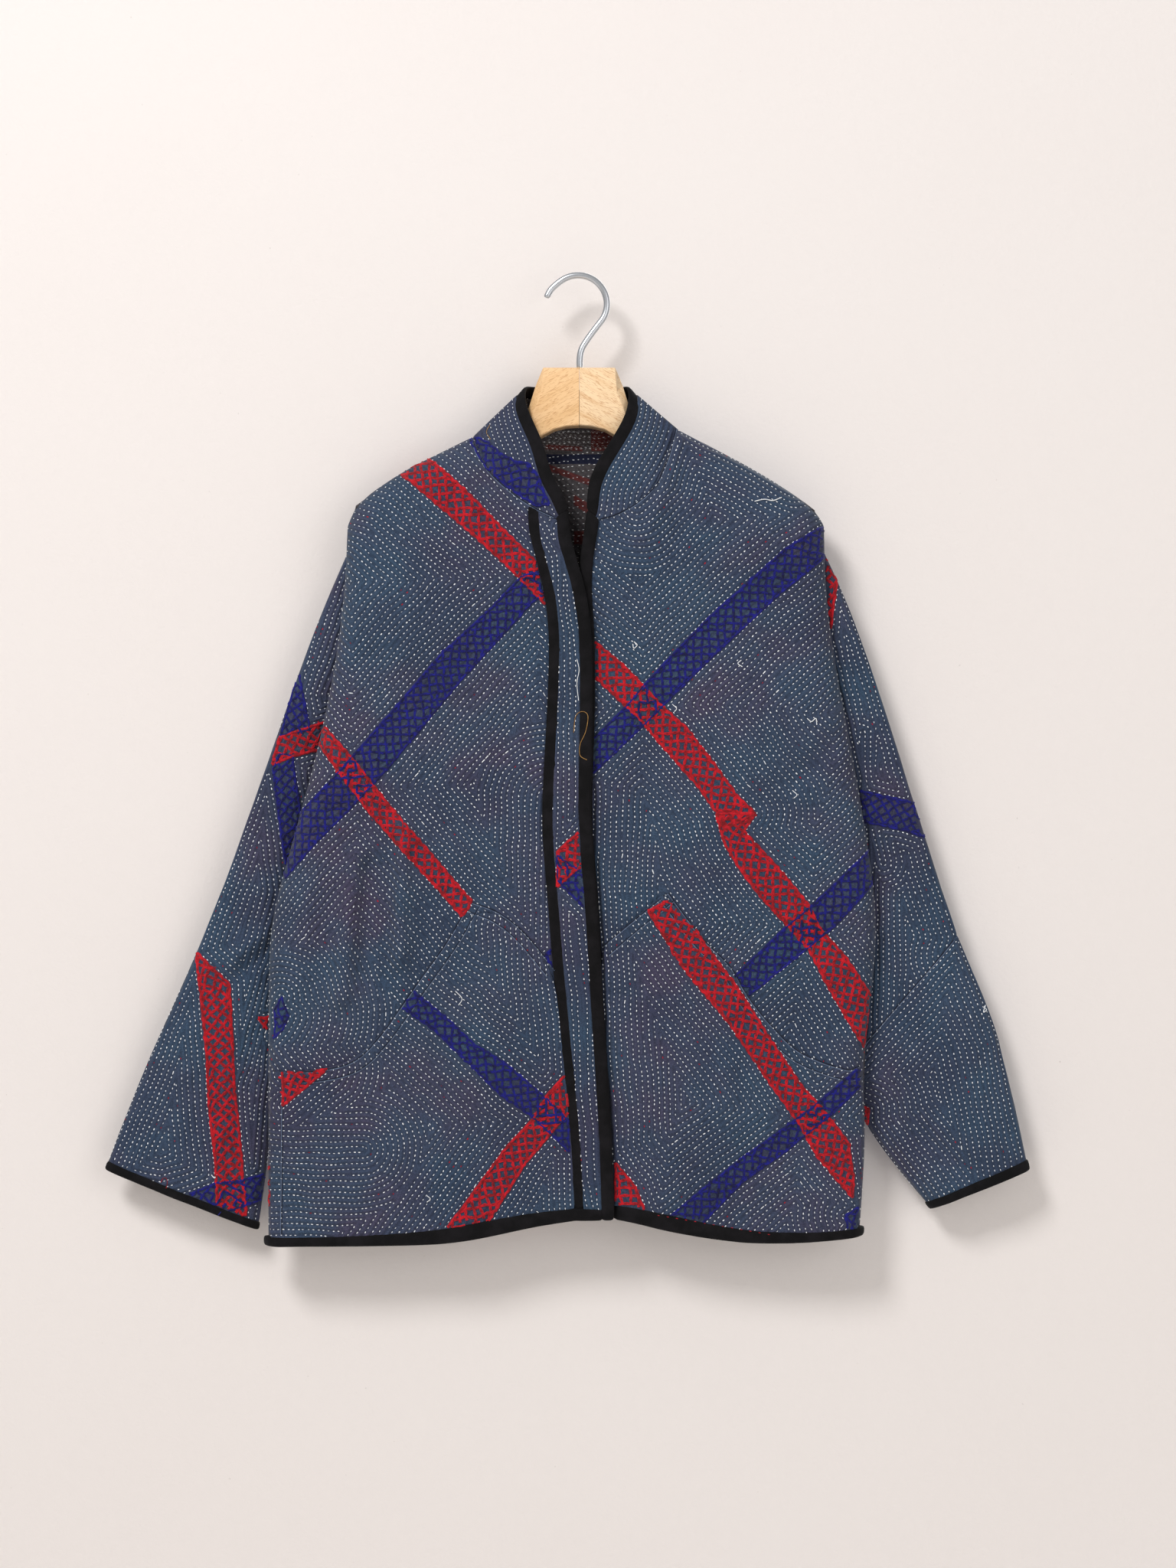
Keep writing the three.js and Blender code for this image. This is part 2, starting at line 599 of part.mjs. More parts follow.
// Half of the wood. Each section is a chamfered oblong.
function woodHalf(side) {
  return loft(WOOD_SECTIONS.map(([away, top, foot, half, across, down]) => {
    const edge = Math.min(1.5, across);
    const corners = [
      [-half + across, top], [half - across, top], [half, top - down], [half, foot + edge],
      [half - edge, foot], [-half + edge, foot], [-half, foot + edge], [-half, top - down],
    ];
    return corners.map(([y, z]) => new THREE.Vector3(side * away + GLUE_LINE_X, y, z));
  }));
}

// The wire: up out of the block, out to the right, over the bend and down to a free tip.
function hookWire() {
  const centre = -(HOOK_RADIUS - WIRE_RADIUS);
  const shank = [[1.5, BLOCK_TOP + 0.3], [1.5, -74], [3, -66], [8, -57.5]];
  const turns = evenly(-46, 168, 14).map((degrees) => {
    const angle = THREE.MathUtils.degToRad(degrees);
    const radius = HOOK_RADIUS + 3 * smooth(degrees, 130, 168);
    return [radius * Math.cos(angle), centre + radius * Math.sin(angle)];
  });
  const path = new THREE.CatmullRomCurve3(
    [...shank, ...turns].map(([x, z]) => new THREE.Vector3(x, 0, z)),
  );
  const section = new THREE.Shape(evenly(0, 1, WIRE_SIDES).slice(0, -1).map((share) => (
    new THREE.Vector2(
      WIRE_RADIUS * Math.cos(2 * Math.PI * share),
      WIRE_RADIUS * Math.sin(2 * Math.PI * share),
    )
  )));
  return new THREE.ExtrudeGeometry(section, { steps: 34, bevelEnabled: false, extrudePath: path });
}

// ---------------------------------------------------------------- the pieces

function material(color, roughness, metalness) {
  return new THREE.MeshStandardMaterial({ color, roughness, metalness });
}
const quilted = () => material(0x46556a, 0.95, 0);
const tape = () => material(0x121114, 0.85, 0);
const beech = () => material(0xe6ba86, 0.5, 0);
const aluminium = () => material(0xcfd2d6, 0.3, 1);

const group = new THREE.Group();

function add(name, geometry, material) {
  const mesh = new THREE.Mesh(geometry, material);
  mesh.name = name;
  group.add(mesh);
}

function addHanger() {
  add('hanger_hook', hookWire(), aluminium());
  add('hanger_wood_right', woodHalf(-1), beech());
  add('hanger_wood_left', woodHalf(1), beech());
}

const onTwo = { lift: LAY_ON / 2, thickness: TAPE_ROUND_TWO };
const onPanel = { lift: LAY_ON };

function addRightFront(grid) {
  const hemRow = LAST_ROW + 1;
  const edge = RIGHT_LAST + 1;
  const pocket = cut(grid, POCKET_ROW, LAST_ROW, POCKET_COLUMN, STRIP_COLUMN - 1);
  const stripTape = cut(grid, 1, LAST_ROW, STRIP_COLUMN, STRIP_COLUMN + 1);
  const strip = cut(grid, 1, LAST_ROW, STRIP_COLUMN + 2, RIGHT_LAST);
  add('front_right', wall(cut(grid, 0, LAST_ROW, 0, RIGHT_LAST)), quilted());
  add('pocket_right', wall(pocket, onPanel), quilted());
  add('placket_tape', wall(stripTape, onPanel), tape());
  add('placket_strip', wall(strip, onPanel), quilted());
  add('edge_tape_right', wall(cut(grid, 0, hemRow + 1, edge, edge + 1), onTwo), tape());
  add('hem_tape_right', wall(cut(grid, hemRow, hemRow + 1, 0, RIGHT_LAST), onTwo), tape());
}

function addLeftFront(grid) {
  const hemRow = LAST_ROW + 1;
  const edge = LEFT_LAST + 1;
  const pocket = cut(grid, POCKET_ROW, LAST_ROW, POCKET_COLUMN, LEFT_LAST);
  add('front_left', wall(cut(grid, 0, LAST_ROW, 0, LEFT_LAST)), quilted());
  add('pocket_left', wall(pocket, onPanel), quilted());
  add('edge_tape_left', wall(cut(grid, 0, hemRow + 1, edge, edge + 1), onTwo), tape());
  add('hem_tape_left', wall(cut(grid, hemRow, hemRow + 1, 0, LEFT_LAST), onTwo), tape());
}

function addBack(grid) {
  const last = grid.points[0].length - 1;
  const rows = grid.points.length;
  const hem = cut(grid, rows - 2, rows - 1, 0, last);
  add('back', wall(cut(grid, 0, rows - 3, 0, last)), quilted());
  add('hem_tape_back', wall(hem, { thickness: TAPE_ROUND_ONE }), tape());
}

function addSleeves() {
  const tube = { closed: true };
  const cuff = { closed: true, thickness: TAPE_ROUND_ONE };
  const end = 1 - TAPE_WIDTH / SLEEVE_LENGTH;
  const seam = LEFT_SLEEVE_SEAM;
  const gap = (SEAM * 3) / SLEEVE_LENGTH; // the stations lie aslant, so their gap is wider
  const whole = sleeveGrid(RIGHT_SLEEVE, 0, end - gap, SLEEVE_STEPS, SLEEVE_HALF);
  const upper = sleeveGrid(LEFT_SLEEVE, 0, seam - gap, LEFT_UPPER_STEPS, LEFT_CUFF_HALF);
  const lower = sleeveGrid(LEFT_SLEEVE, seam, end - gap, LEFT_END_STEPS, LEFT_CUFF_HALF);
  add('sleeve_right', wall(whole, tube), quilted());
  add('cuff_tape_right', wall(sleeveGrid(RIGHT_SLEEVE, end, 1, 1, SLEEVE_HALF), cuff), tape());
  add('sleeve_left', wall(upper, tube), quilted());
  add('sleeve_left_end', wall(lower, tube), quilted());
  add('cuff_tape_left', wall(sleeveGrid(LEFT_SLEEVE, end, 1, 1, LEFT_CUFF_HALF), cuff), tape());
}

function addCollar(grid) {
  const last = grid.points[0].length - 1;
  add('collar', wall(cut(grid, 0, 2, 0, last)), quilted());
  add('collar_tape', wall(cut(grid, 3, 4, 0, last), { thickness: TAPE_ROUND_ONE }), tape());
}

const right = rightFrontGrid();
const left = leftFrontGrid();
const back = backGrid();
addHanger();
addBack(back);
addSleeves();
addCollar(collarGrid(right, back, left));
addLeftFront(left);
addRightFront(right);

export default group;
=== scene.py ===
"""Looks for a quilted jacket on a wooden hanger: cloth, running stitches, lattice bands, bindings, hanger.

The CAD model is in metres with +Z up and its front facing -Y. Charts below are in millimetres (x, z).
"""

import math
from math import radians

import bmesh
import bpy
import numpy as np
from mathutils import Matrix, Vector
from mathutils.bvhtree import BVHTree


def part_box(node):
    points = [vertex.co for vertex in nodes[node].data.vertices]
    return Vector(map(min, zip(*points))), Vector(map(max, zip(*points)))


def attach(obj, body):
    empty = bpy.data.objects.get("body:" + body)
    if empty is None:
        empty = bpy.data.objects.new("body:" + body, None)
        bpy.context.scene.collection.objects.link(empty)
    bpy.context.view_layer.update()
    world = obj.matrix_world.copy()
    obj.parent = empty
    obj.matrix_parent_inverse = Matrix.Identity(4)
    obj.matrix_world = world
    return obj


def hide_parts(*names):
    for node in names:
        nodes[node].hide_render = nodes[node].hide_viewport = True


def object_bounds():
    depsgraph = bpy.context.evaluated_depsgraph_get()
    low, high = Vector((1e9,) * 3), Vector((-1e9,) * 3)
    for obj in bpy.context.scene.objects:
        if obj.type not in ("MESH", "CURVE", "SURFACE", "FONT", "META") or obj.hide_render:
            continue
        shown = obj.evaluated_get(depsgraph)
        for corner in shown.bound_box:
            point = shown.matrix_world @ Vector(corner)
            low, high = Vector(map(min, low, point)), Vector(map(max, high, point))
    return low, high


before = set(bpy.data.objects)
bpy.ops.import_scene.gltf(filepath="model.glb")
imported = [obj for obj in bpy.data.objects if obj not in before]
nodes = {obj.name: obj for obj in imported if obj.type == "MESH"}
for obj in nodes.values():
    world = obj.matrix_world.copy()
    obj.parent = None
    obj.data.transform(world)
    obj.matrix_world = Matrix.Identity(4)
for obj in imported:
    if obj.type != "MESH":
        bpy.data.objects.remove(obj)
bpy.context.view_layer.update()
rng = np.random.default_rng(27)

MM = 0.001
ROW = 5.1  # mm between rows of running stitch
PITCH = 4.6  # mm from one stitch to the next
STITCH = 2.1  # mm, a stitch's length
LATTICE = 5.1  # mm, half a mesh of the chain-stitch lattice
RUN_ON = 220  # mm by which the lines that rows follow run on past the ends of long bands

# ---------------------------------------------------------------- charts, mm

# Bands of lattice embroidery: colour, one edge, the other edge. Two more values say whether the rows of
# stitches beside the band run on past its start and past its end. Without them, long bands do at both.
BANDS = {
    "front_right": [
        ("red", [(-178, -175), (-163, -181), (-104, -231), (-78, -254), (-51, -280), (-23, -309)],
         [(-147, -161), (-135, -169), (-104, -197), (-71, -231), (-45, -257), (-23, -279)]),
        ("blue", [(-27, -270), (-51, -276), (-80, -306), (-127, -350), (-197, -431), (-222, -459),
                  (-262, -500), (-284, -522)],
         [(-23, -288), (-41, -299), (-106, -370), (-176, -454), (-199, -479), (-241, -521), (-268, -552)]),
        ("red", [(-241, -424), (-219, -454), (-192, -490), (-162, -524), (-110, -582), (-106, -587)],
         [(-232, -414), (-205, -444), (-178, -479), (-148, -514), (-103, -567), (-97, -573)]),
        ("blue", [(-277, -687), (-278, -673), (-271, -661)], [(-279, -699), (-270, -690), (-265, -679)]),
        ("red", [(-287, -816), (-286, -841), (-286, -857)], [(-286, -816), (-272, -831), (-270, -869)]),
        ("blue", [(-30, -622), (-22, -615)], [(-23, -634), (-19, -629)]),
    ],
    "pocket_right": [
        ("blue", [(-152, -654), (-120, -680), (-95, -704), (-68, -720), (-31, -752), (-9, -773)],
         [(-161, -669), (-130, -692), (-101, -720), (-71, -750), (-43, -769), (-25, -785), (-8, -802)]),
        ("red", [(-12, -732), (-28, -750), (-41, -772), (-66, -799), (-101, -847), (-128, -883)],
         [(-9, -766), (-25, -785), (-48, -812), (-68, -844), (-93, -883)]),
        ("red", [(-270, -729), (-232, -727)], [(-270, -760), (-231, -728)]),
    ],
    "placket_strip": [
        ("red", [(6, -505), (-19, -528)], [(8, -536), (-19, -560)]),
        ("blue", [(-19, -531), (-7, -540), (9, -550)], [(-19, -554), (-7, -566), (12, -584)]),
    ],
    "front_left": [
        ("red", [(12, -333), (44, -360), (61, -378), (77, -395), (99, -415), (120, -442), (145, -477),
                 (162, -493)],
         [(12, -365), (42, -393), (55, -405), (77, -431), (108, -466), (126, -491), (134, -507)],
         True, False),
        ("red", [(162, -493), (151, -509), (167, -526), (189, -550), (211, -577), (221, -598), (245, -625),
                 (274, -668)],
         [(126, -493), (134, -521), (149, -545), (167, -569), (192, -596), (211, -617), (229, -652),
          (262, -707)], False, True),
        ("blue", [(229, -227), (190, -251), (161, -277), (124, -310), (95, -339), (61, -375), (48, -391),
                  (12, -427)],
         [(230, -255), (182, -294), (149, -325), (116, -356), (79, -393), (59, -413), (12, -458)]),
        ("blue", [(140, -645), (144, -641), (189, -598), (216, -575), (276, -518)],
         [(152, -664), (155, -660), (205, -620), (232, -598), (278, -549)]),
    ],
    "pocket_left": [
        ("red", [(64, -582), (98, -636), (138, -684), (178, -743), (202, -776), (218, -805), (251, -844)],
         [(94, -567), (111, -606), (144, -650), (178, -703), (205, -743), (224, -764), (247, -794),
          (252, -827)]),
        ("blue", [(261, -721), (216, -760), (189, -780), (151, -807), (117, -834), (83, -862)],
         [(262, -739), (229, -770), (189, -802), (151, -829), (107, -874)]),
        ("red", [(34, -813), (52, -834), (66, -868)], [(34, -865), (42, -867), (59, -868)]),
        ("blue", [(244, -861), (262, -850)], [(247, -874), (260, -874)]),
    ],
    "sleeve_right": [
        ("blue", [(-258, -365), (-274, -421)], [(-257, -365), (-247, -416)]),
        ("red", [(-275, -423), (-255, -416), (-227, -407)], [(-282, -448), (-262, -440), (-233, -433)]),
        ("blue", [(-275, -438), (-281, -454), (-276, -491), (-272, -522), (-267, -554)],
         [(-263, -440), (-260, -466), (-255, -501), (-254, -526), (-262, -554)]),
        ("red", [(-352, -622), (-347, -662), (-342, -714), (-340, -762), (-334, -818), (-332, -862)],
         [(-351, -622), (-332, -640), (-321, -651), (-319, -696), (-317, -748), (-312, -801), (-306, -869)]),
        ("blue", [(-369, -848), (-333, -834), (-312, -832), (-282, -825)],
         [(-360, -858), (-337, -864), (-307, -855), (-282, -846)]),
        ("red", [(-295, -682), (-278, -680)], [(-282, -697), (-276, -694)]),
    ],
    "sleeve_left": [
        ("red", [(220, -220), (219, -279), (230, -325)],
         [(227, -232), (240, -270), (235, -302), (232, -325)]),
        ("blue", [(214, -225), (227, -234), (234, -251)], [(214, -244), (226, -251), (233, -260)]),
        ("blue", [(248, -470), (276, -476), (304, -482), (312, -484)],
         [(248, -498), (265, -501), (298, -508), (320, -515)]),
        ("blue", [(344, -624), (351, -603)], [(362, -624), (352, -603)]),
    ],
    "sleeve_left_end": [
        ("red", [(262, -764), (263, -789)], [(268, -766), (268, -790)]),
    ],
    "back": [
        ("red", [(-178, -175), (-60, -290), (70, -430), (190, -560), (255, -620)],
         [(-150, -161), (-36, -272), (92, -412), (212, -542), (272, -598)]),
        ("blue", [(200, -196), (76, -310), (-74, -430), (-214, -542), (-276, -594)],
         [(216, -219), (94, -332), (-56, -452), (-196, -564), (-278, -630)]),
        ("red", [(-276, -560), (-180, -650), (-90, -760), (-20, -868)],
         [(-278, -592), (-200, -668), (-112, -776), (-50, -872)]),
        ("blue", [(268, -690), (150, -760), (60, -830), (20, -866)],
         [(262, -716), (162, -782), (76, -850), (62, -870)]),
    ],
}
COLLAR_BAND = ("blue", [(-100, -144), (-85, -151), (-70, -164), (-57, -172), (-46, -173), (-36, -186),
                        (-32, -198), (-26, -211)],
               [(-100, -148), (-95, -158), (-89, -170), (-80, -181), (-66, -193), (-52, -203), (-38, -212)])

# Other lines that rows of stitches run beside.
LINES = {
    "front_right": [
        [(-26, -480), (-27, -560), (-24, -640), (-15, -720)],
        [(-345, -632), (-266, -731), (-180, -838)],
    ],
    "pocket_right": [
        [(-24, -600), (-15, -700), (-6, -800), (-2, -862)],
        [(-290, -800), (-196, -800)],
    ],
    "placket_strip": [
        [(-43, -232), (-27, -262), (-20, -330), (-23, -560), (-13, -690), (-3, -830), (2, -860)],
        [(-10, -235), (4, -282), (10, -340), (10, -560), (21, -690), (30, -850)],
    ],
    "front_left": [
        [(14, -470), (10, -560), (22, -700)],
        [(87, -136), (200, -196)],
        [(52, -212), (76, -190), (90, -150)],
    ],
    "pocket_left": [
        [(18, -610), (22, -690), (30, -850)],
    ],
    "sleeve_right": [
        [(-226, -264), (-259, -380), (-353, -627), (-435, -821)],
        [(-296, -876), (-289, -800), (-277, -700)],
    ],
    "sleeve_left": [
        [(240, -270), (275, -373), (317, -509), (349, -606)],
        [(262, -420), (264, -560), (262, -700)],
    ],
    "sleeve_left_end": [
        [(256, -712), (300, -664), (349, -606)],
        [(353, -610), (388, -702), (412, -820)],
        [(262, -770), (288, -806), (322, -852)],
    ],
    "back": [
        [(-300, -878), (280, -878)],
    ],
}

# Lines of sewing: points, and for each groove how far it lies to their left and how wide it is. Each
# groove's shade is painted as a dark cord, a painted shadow line, and beside it goes a pale cord, a painted
# highlight on the seam's raised edge.
SEAMS = [
    ([(-97, -147), (-92, -164), (-79, -183), (-60, -200), (-41, -213), (-22, -222)], [(0.0, 1.0)]),
    ([(20, -224), (34, -220), (53, -210), (70, -194), (82, -170), (90, -139)], [(0.0, 1.0)]),
    ([(-266, -730), (-233, -728), (-203, -719), (-178, -694), (-150, -654), (-120, -612), (-98, -574)],
     [(0.8, 1.3), (-8.5, 0.8)]),
    ([(-98, -574), (-73, -584), (-50, -602), (-21, -636)], [(0.5, 1.1), (-8.5, 0.7)]),
    ([(22, -616), (45, -596), (82, -566)], [(0.5, 1.1), (-8.5, 0.7)]),
    ([(82, -566), (112, -606), (139, -634), (155, -661), (176, -687), (203, -712), (243, -727), (258, -725)],
     [(0.8, 1.3), (-8.5, 0.8)]),
    ([(262, -708), (300, -664), (349, -606)], [(0.0, 1.3)]),
    ([(-269, -732), (-270, -800), (-271, -878)], [(0.0, 1.0)]),
]
# Loose threads: colour, width, points.
LOOSE = [
    ("gold", 0.6, [(-4, -419), (-2, -404), (4, -400), (9, -404), (7, -418), (2, -430), (2, -440),
                   (8, -444)]),
    ("white", 0.6, [(-1, -352), (1, -362), (-1, -374), (0.5, -390)]),
    ("white", 0.9, [(161, -208), (170, -206), (178, -207), (186, -204)]),
    ("white", 0.8, [(372, -671), (376, -674), (373, -676), (375, -670)]),
    ("gold", 0.5, [(-81, -136), (-84, -143), (-80, -150)]),
    ("blue", 0.7, [(-329, -860), (-333, -866), (-330, -871)]),
    ("white", 0.7, [(-112, -655), (-106, -662), (-109, -668)]),
    ("red", 0.5, [(-384, -833), (-382, -829), (-379, -829), (-378, -833), (-379, -838)]),
    ("white", 0.8, [(51, -336), (54, -339), (51, -342), (50, -338)]),
    ("white", 0.8, [(149, -353), (146, -356), (150, -359)]),
    ("white", 0.8, [(209, -406), (213, -409), (217, -406), (218, -412)]),
    ("white", 0.7, [(86, -393), (90, -397), (88, -400)]),
    ("white", 0.7, [(196, -472), (200, -476), (197, -479)]),
    ("white", 0.8, [(-338, -826), (-335, -829), (-333, -826)]),
    ("white", 0.7, [(-138, -842), (-135, -845), (-138, -848)]),
]
HEM_DOTS = [(73.5 + 8.4 * k, -860.0 - 1.46 * k) for k in range(13)]  # red, on the left front's hem

# Soft folds pulled out of the cloth (or pressed in): line, half width, height, all mm.
FRONT_FOLDS = [
    ([(-203, -535), (-208, -575), (-216, -660)], 10, 5.0),
    ([(-190, -540), (-196, -640)], 9, -4.0),
    ([(-158, -505), (-162, -560), (-164, -625)], 9, 5.0),
    ([(-170, -520), (-176, -640)], 8, -3.4),
    ([(-225, -560), (-238, -680)], 12, -1.6),
    ([(-246, -560), (-262, -660)], 10, 1.6),
    ([(-135, -560), (-150, -650)], 9, -1.3),
    ([(-262, -470), (-230, -560)], 14, 1.6),
    ([(-176, -300), (-120, -420), (-96, -520)], 26, 1.4),
    ([(-60, -330), (-66, -470)], 18, -1.2),
    ([(-104, -170), (-96, -240)], 9, 1.4),
    ([(-116, -176), (-112, -240)], 8, -1.0),
    ([(-150, -700), (-168, -800)], 16, 1.8),
    ([(-60, -690), (-52, -820)], 18, -1.4),
    ([(-230, -770), (-236, -860)], 16, 1.6),
    ([(87, -152), (74, -210), (62, -236)], 8, 2.2),
    ([(76, -158), (60, -230)], 7, -1.5),
    ([(60, -208), (52, -250), (46, -282)], 9, 1.6),
    ([(98, -160), (92, -240)], 9, -1.3),
    ([(240, -424), (218, -446), (196, -464)], 9, -2.4),
    ([(246, -440), (224, -462), (204, -480)], 9, 1.9),
    ([(132, -682), (138, -720), (134, -762)], 9, 2.2),
    ([(118, -690), (122, -780)], 9, -1.6),
    ([(210, -330), (170, -440), (160, -560)], 28, 1.5),
    ([(110, -330), (96, -470)], 24, -1.2),
    ([(226, -640), (232, -760), (222, -860)], 18, 1.6),
    ([(60, -700), (72, -840)], 20, 1.3),
    ([(196, -700), (190, -840)], 18, -1.4),
    ([(-263, -733), (-203, -723), (-176, -698), (-118, -616), (-98, -580)], 6, 1.0),
    ([(84, -574), (112, -612), (137, -640), (174, -692), (203, -717), (255, -732)], 6, 1.0),
]
BACK_FOLDS = [
    ([(-180, -260), (-150, -420), (-160, -640)], 26, 2.0),
    ([(-120, -300), (-104, -560)], 18, -1.4),
    ([(170, -260), (140, -430), (160, -660)], 26, 2.0),
    ([(100, -300), (84, -600)], 18, -1.4),
    ([(-20, -200), (10, -420), (-10, -700)], 30, 1.4),
    ([(-210, -520), (-196, -600), (-214, -720)], 12, 2.0),
    ([(200, -500), (190, -600), (206, -720)], 12, 1.8),
    ([(-60, -640), (-70, -850)], 18, 1.8),
    ([(60, -660), (72, -850)], 18, 1.6),
]
SLEEVE_FOLDS = [
    ([(-316, -644), (-292, -624), (-271, -609)], 8, -2.6),
    ([(-318, -628), (-290, -606)], 8, 2.0),
    ([(-300, -520), (-286, -600)], 10, 1.6),
    ([(-360, -700), (-372, -840)], 14, 2.0),
    ([(-300, -700), (-322, -850)], 10, -1.6),
    ([(296, -746), (320, -794), (365, -826)], 10, -2.8),
    ([(284, -742), (300, -800), (340, -846)], 9, 2.2),
    ([(300, -560), (296, -640)], 10, 1.5),
    ([(350, -680), (376, -800)], 14, 1.8),
    ([(268, -500), (280, -560)], 9, -1.6),
]

# The CAD's back stops a few mm short of the sleeves. Its strip beside each armhole is drawn out towards
# them, which narrows the gap but leaves it open in places, most at the right sleeve's head: height, where
# the left edge is and how far it goes out, the same for the right, how far both come forward.
ARMHOLES = [
    (-445, 238, 0.0, 226, 0.0, 0.0),
    (-420, 233.7, 2.9, 221.3, 5.9, 0.0),
    (-390, 231.2, 2.0, 218.2, 5.0, 0.0),
    (-360, 226.9, 3.0, 214.0, 5.3, 0.0),
    (-330, 222.2, 4.3, 209.4, 5.9, 0.0),
    (-300, 218.5, 4.7, 205.7, 5.7, 0.0),
    (-275, 216.8, 3.6, 203.7, 4.4, 0.5),
    (-250, 216.4, 1.3, 202.7, 2.2, 1.9),
    (-235, 216.2, 1.4, 202.2, 1.1, 5.6),
    (-225, 216.4, 8.0, 202.3, 8.4, 12.0),
    (-215, 216.8, 0.8, 202.7, 3.5, 5.0),
    (-205, 207.0, 0.0, 199.0, 0.0, 0.0),
]

# Cut sizes of what shows: width and length, mm, and the share of that oblong which the panel fills.
CUTS = {
    "front_right": (330, 740, 0.79),
    "front_left": (300, 740, 0.78),
    "back": (570, 735, 0.85),
    "sleeve_right": (300, 640, 0.48),
    "sleeve_left": (290, 400, 0.43),
    "sleeve_left_end": (292, 235, 0.72),
    "collar": (430, 50, 0.8),
    "pocket_right": (250, 310, 0.75),
    "pocket_left": (240, 310, 0.7),
    "placket_strip": (25, 650, 0.9),
}
# Bindings are hems of these panels. Their cut width can't be seen, so they state none of their own.
BOUND_BY = {
    "front_right": ["edge_tape_right", "hem_tape_right"],
    "front_left": ["edge_tape_left", "hem_tape_left"],
    "back": ["hem_tape_back"],
    "sleeve_right": ["cuff_tape_right"],
    "sleeve_left_end": ["cuff_tape_left"],
    "collar": ["collar_tape"],
    "placket_strip": ["placket_tape"],
}

# ---------------------------------------------------------------- helpers

def array(points):
    return np.array(points, dtype=float)


def tree_of(mesh):
    """A mesh's faces, to cast rays at and to measure distances from."""
    return BVHTree.FromPolygons([v.co for v in mesh.vertices], [tuple(p.vertices) for p in mesh.polygons])


def segments(lines):
    """Start and end points of every part of these lines."""
    starts = np.concatenate([array(line)[:-1] for line in lines])
    ends = np.concatenate([array(line)[1:] for line in lines])
    return starts, ends


def distance(points, lines):
    """How far each point is from the nearest line, in the plane."""
    starts, ends = segments(lines)
    best = np.full(len(points), 1e9)
    for a, b in zip(starts, ends):
        along = b - a
        share = np.clip(((points - a) @ along) / (along @ along), 0, 1)
        away = points - a - share[:, None] * along
        best = np.minimum(best, np.hypot(away[:, 0], away[:, 1]))
    return best


def length_of(line):
    return np.hypot(*np.diff(array(line), axis=0).T).sum()


def drift(points, size, seed):
    """A smooth random value from -1 to 1 that changes over about size mm."""
    local = np.random.default_rng(seed)
    total = np.zeros(len(points))
    for _ in range(6):
        turn = local.uniform(0, 2 * math.pi)
        wave = 2 * math.pi / (size * local.uniform(0.7, 1.6))
        phase = local.uniform(0, 2 * math.pi)
        total += np.sin((points[:, 0] * math.cos(turn) + points[:, 1] * math.sin(turn)) * wave + phase)
    return total / 3.2


def wander(points):
    """The hand's unevenness: how far rows stray from their lines, mm."""
    across = 1.3 * drift(points, 90, 1) + 0.5 * drift(points, 26, 2)
    along = 1.3 * drift(points, 90, 3) + 0.5 * drift(points, 26, 4)
    return np.stack([across, along], axis=1)


def inside(points, outline):
    """Which points lie within a closed outline."""
    result = np.zeros(len(points), dtype=bool)
    for (x0, z0), (x1, z1) in zip(outline, outline[1:] + outline[:1]):
        if z0 == z1:
            continue
        crosses = (points[:, 1] > min(z0, z1)) & (points[:, 1] <= max(z0, z1))
        at = x0 + (points[:, 1] - z0) * (x1 - x0) / (z1 - z0)
        result ^= crosses & (points[:, 0] < at)
    return result


FOLD_RISE = 1.5  # times the charts' heights, for folds that show in soft light


def fold_height(points, folds):
    """Height of these folds and of the cloth's general unevenness, mm."""
    height = 1.5 * drift(points, 120, 11) + 0.7 * drift(points, 42, 12) + 0.3 * drift(points, 17, 13)
    for line, width, rise in folds:
        away = distance(points, [line]) / width
        height += FOLD_RISE * rise * np.exp(-away * away)
    return height


def coordinates(mesh):
    flat = np.empty(len(mesh.vertices) * 3)
    mesh.vertices.foreach_get("co", flat)
    return flat.reshape(-1, 3)


def set_coordinates(mesh, points):
    mesh.vertices.foreach_set("co", points.ravel())
    mesh.update()


def vertex_normals(mesh):
    flat = np.empty(len(mesh.vertices) * 3)
    mesh.vertex_normals.foreach_get("vector", flat)
    return flat.reshape(-1, 3)


def add_values(mesh, name, values):
    mesh.attributes.new(name, "FLOAT", "POINT").data.foreach_set("value", values.astype(np.float32))


def link(name, mesh, material, slot):
    obj = bpy.data.objects.new(name, mesh)
    bpy.context.scene.collection.objects.link(obj)
    mesh.materials.clear()
    mesh.materials.append(material)
    mesh.shade_smooth()
    return obj


def stand_in(name, suffix, mesh, material, slot):
    """A piece that takes the place of the CAD's node of this name."""
    obj = link(f"{name}_{suffix}", mesh, material, slot)
    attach(obj, "root")
    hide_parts(name)
    return obj


def mesh_of(name, points, faces):
    mesh = bpy.data.meshes.new(name)
    mesh.from_pydata(points.tolist(), [], faces.tolist())
    mesh.update()
    return mesh


WELD = 2e-5  # m, corners closer than this are one
SHARP = radians(58)  # an edge that turns more than this is a rim's
RIM = 8  # mm, a wall's rim is narrower than this


def is_sharp(edge):
    return len(edge.link_faces) == 2 and edge.calc_face_angle() > SHARP


def grow_rims(bm, amount):
    """Moves a wall's rims outward by this many mm, so that seams between neighbours close."""
    moves = {}
    for face in bm.faces:
        if len(face.edges) != 4:
            continue
        for pair, other in (((0, 2), (1, 3)), ((1, 3), (0, 2))):
            width = sum(face.edges[i].calc_length() for i in other) / 2
            if width < RIM * MM and all(is_sharp(face.edges[i]) for i in pair):
                for vert in face.verts:
                    moves.setdefault(vert, Vector())
                    moves[vert] += face.normal
                break
    for vert, way in moves.items():
        vert.co += way.normalized() * amount * MM


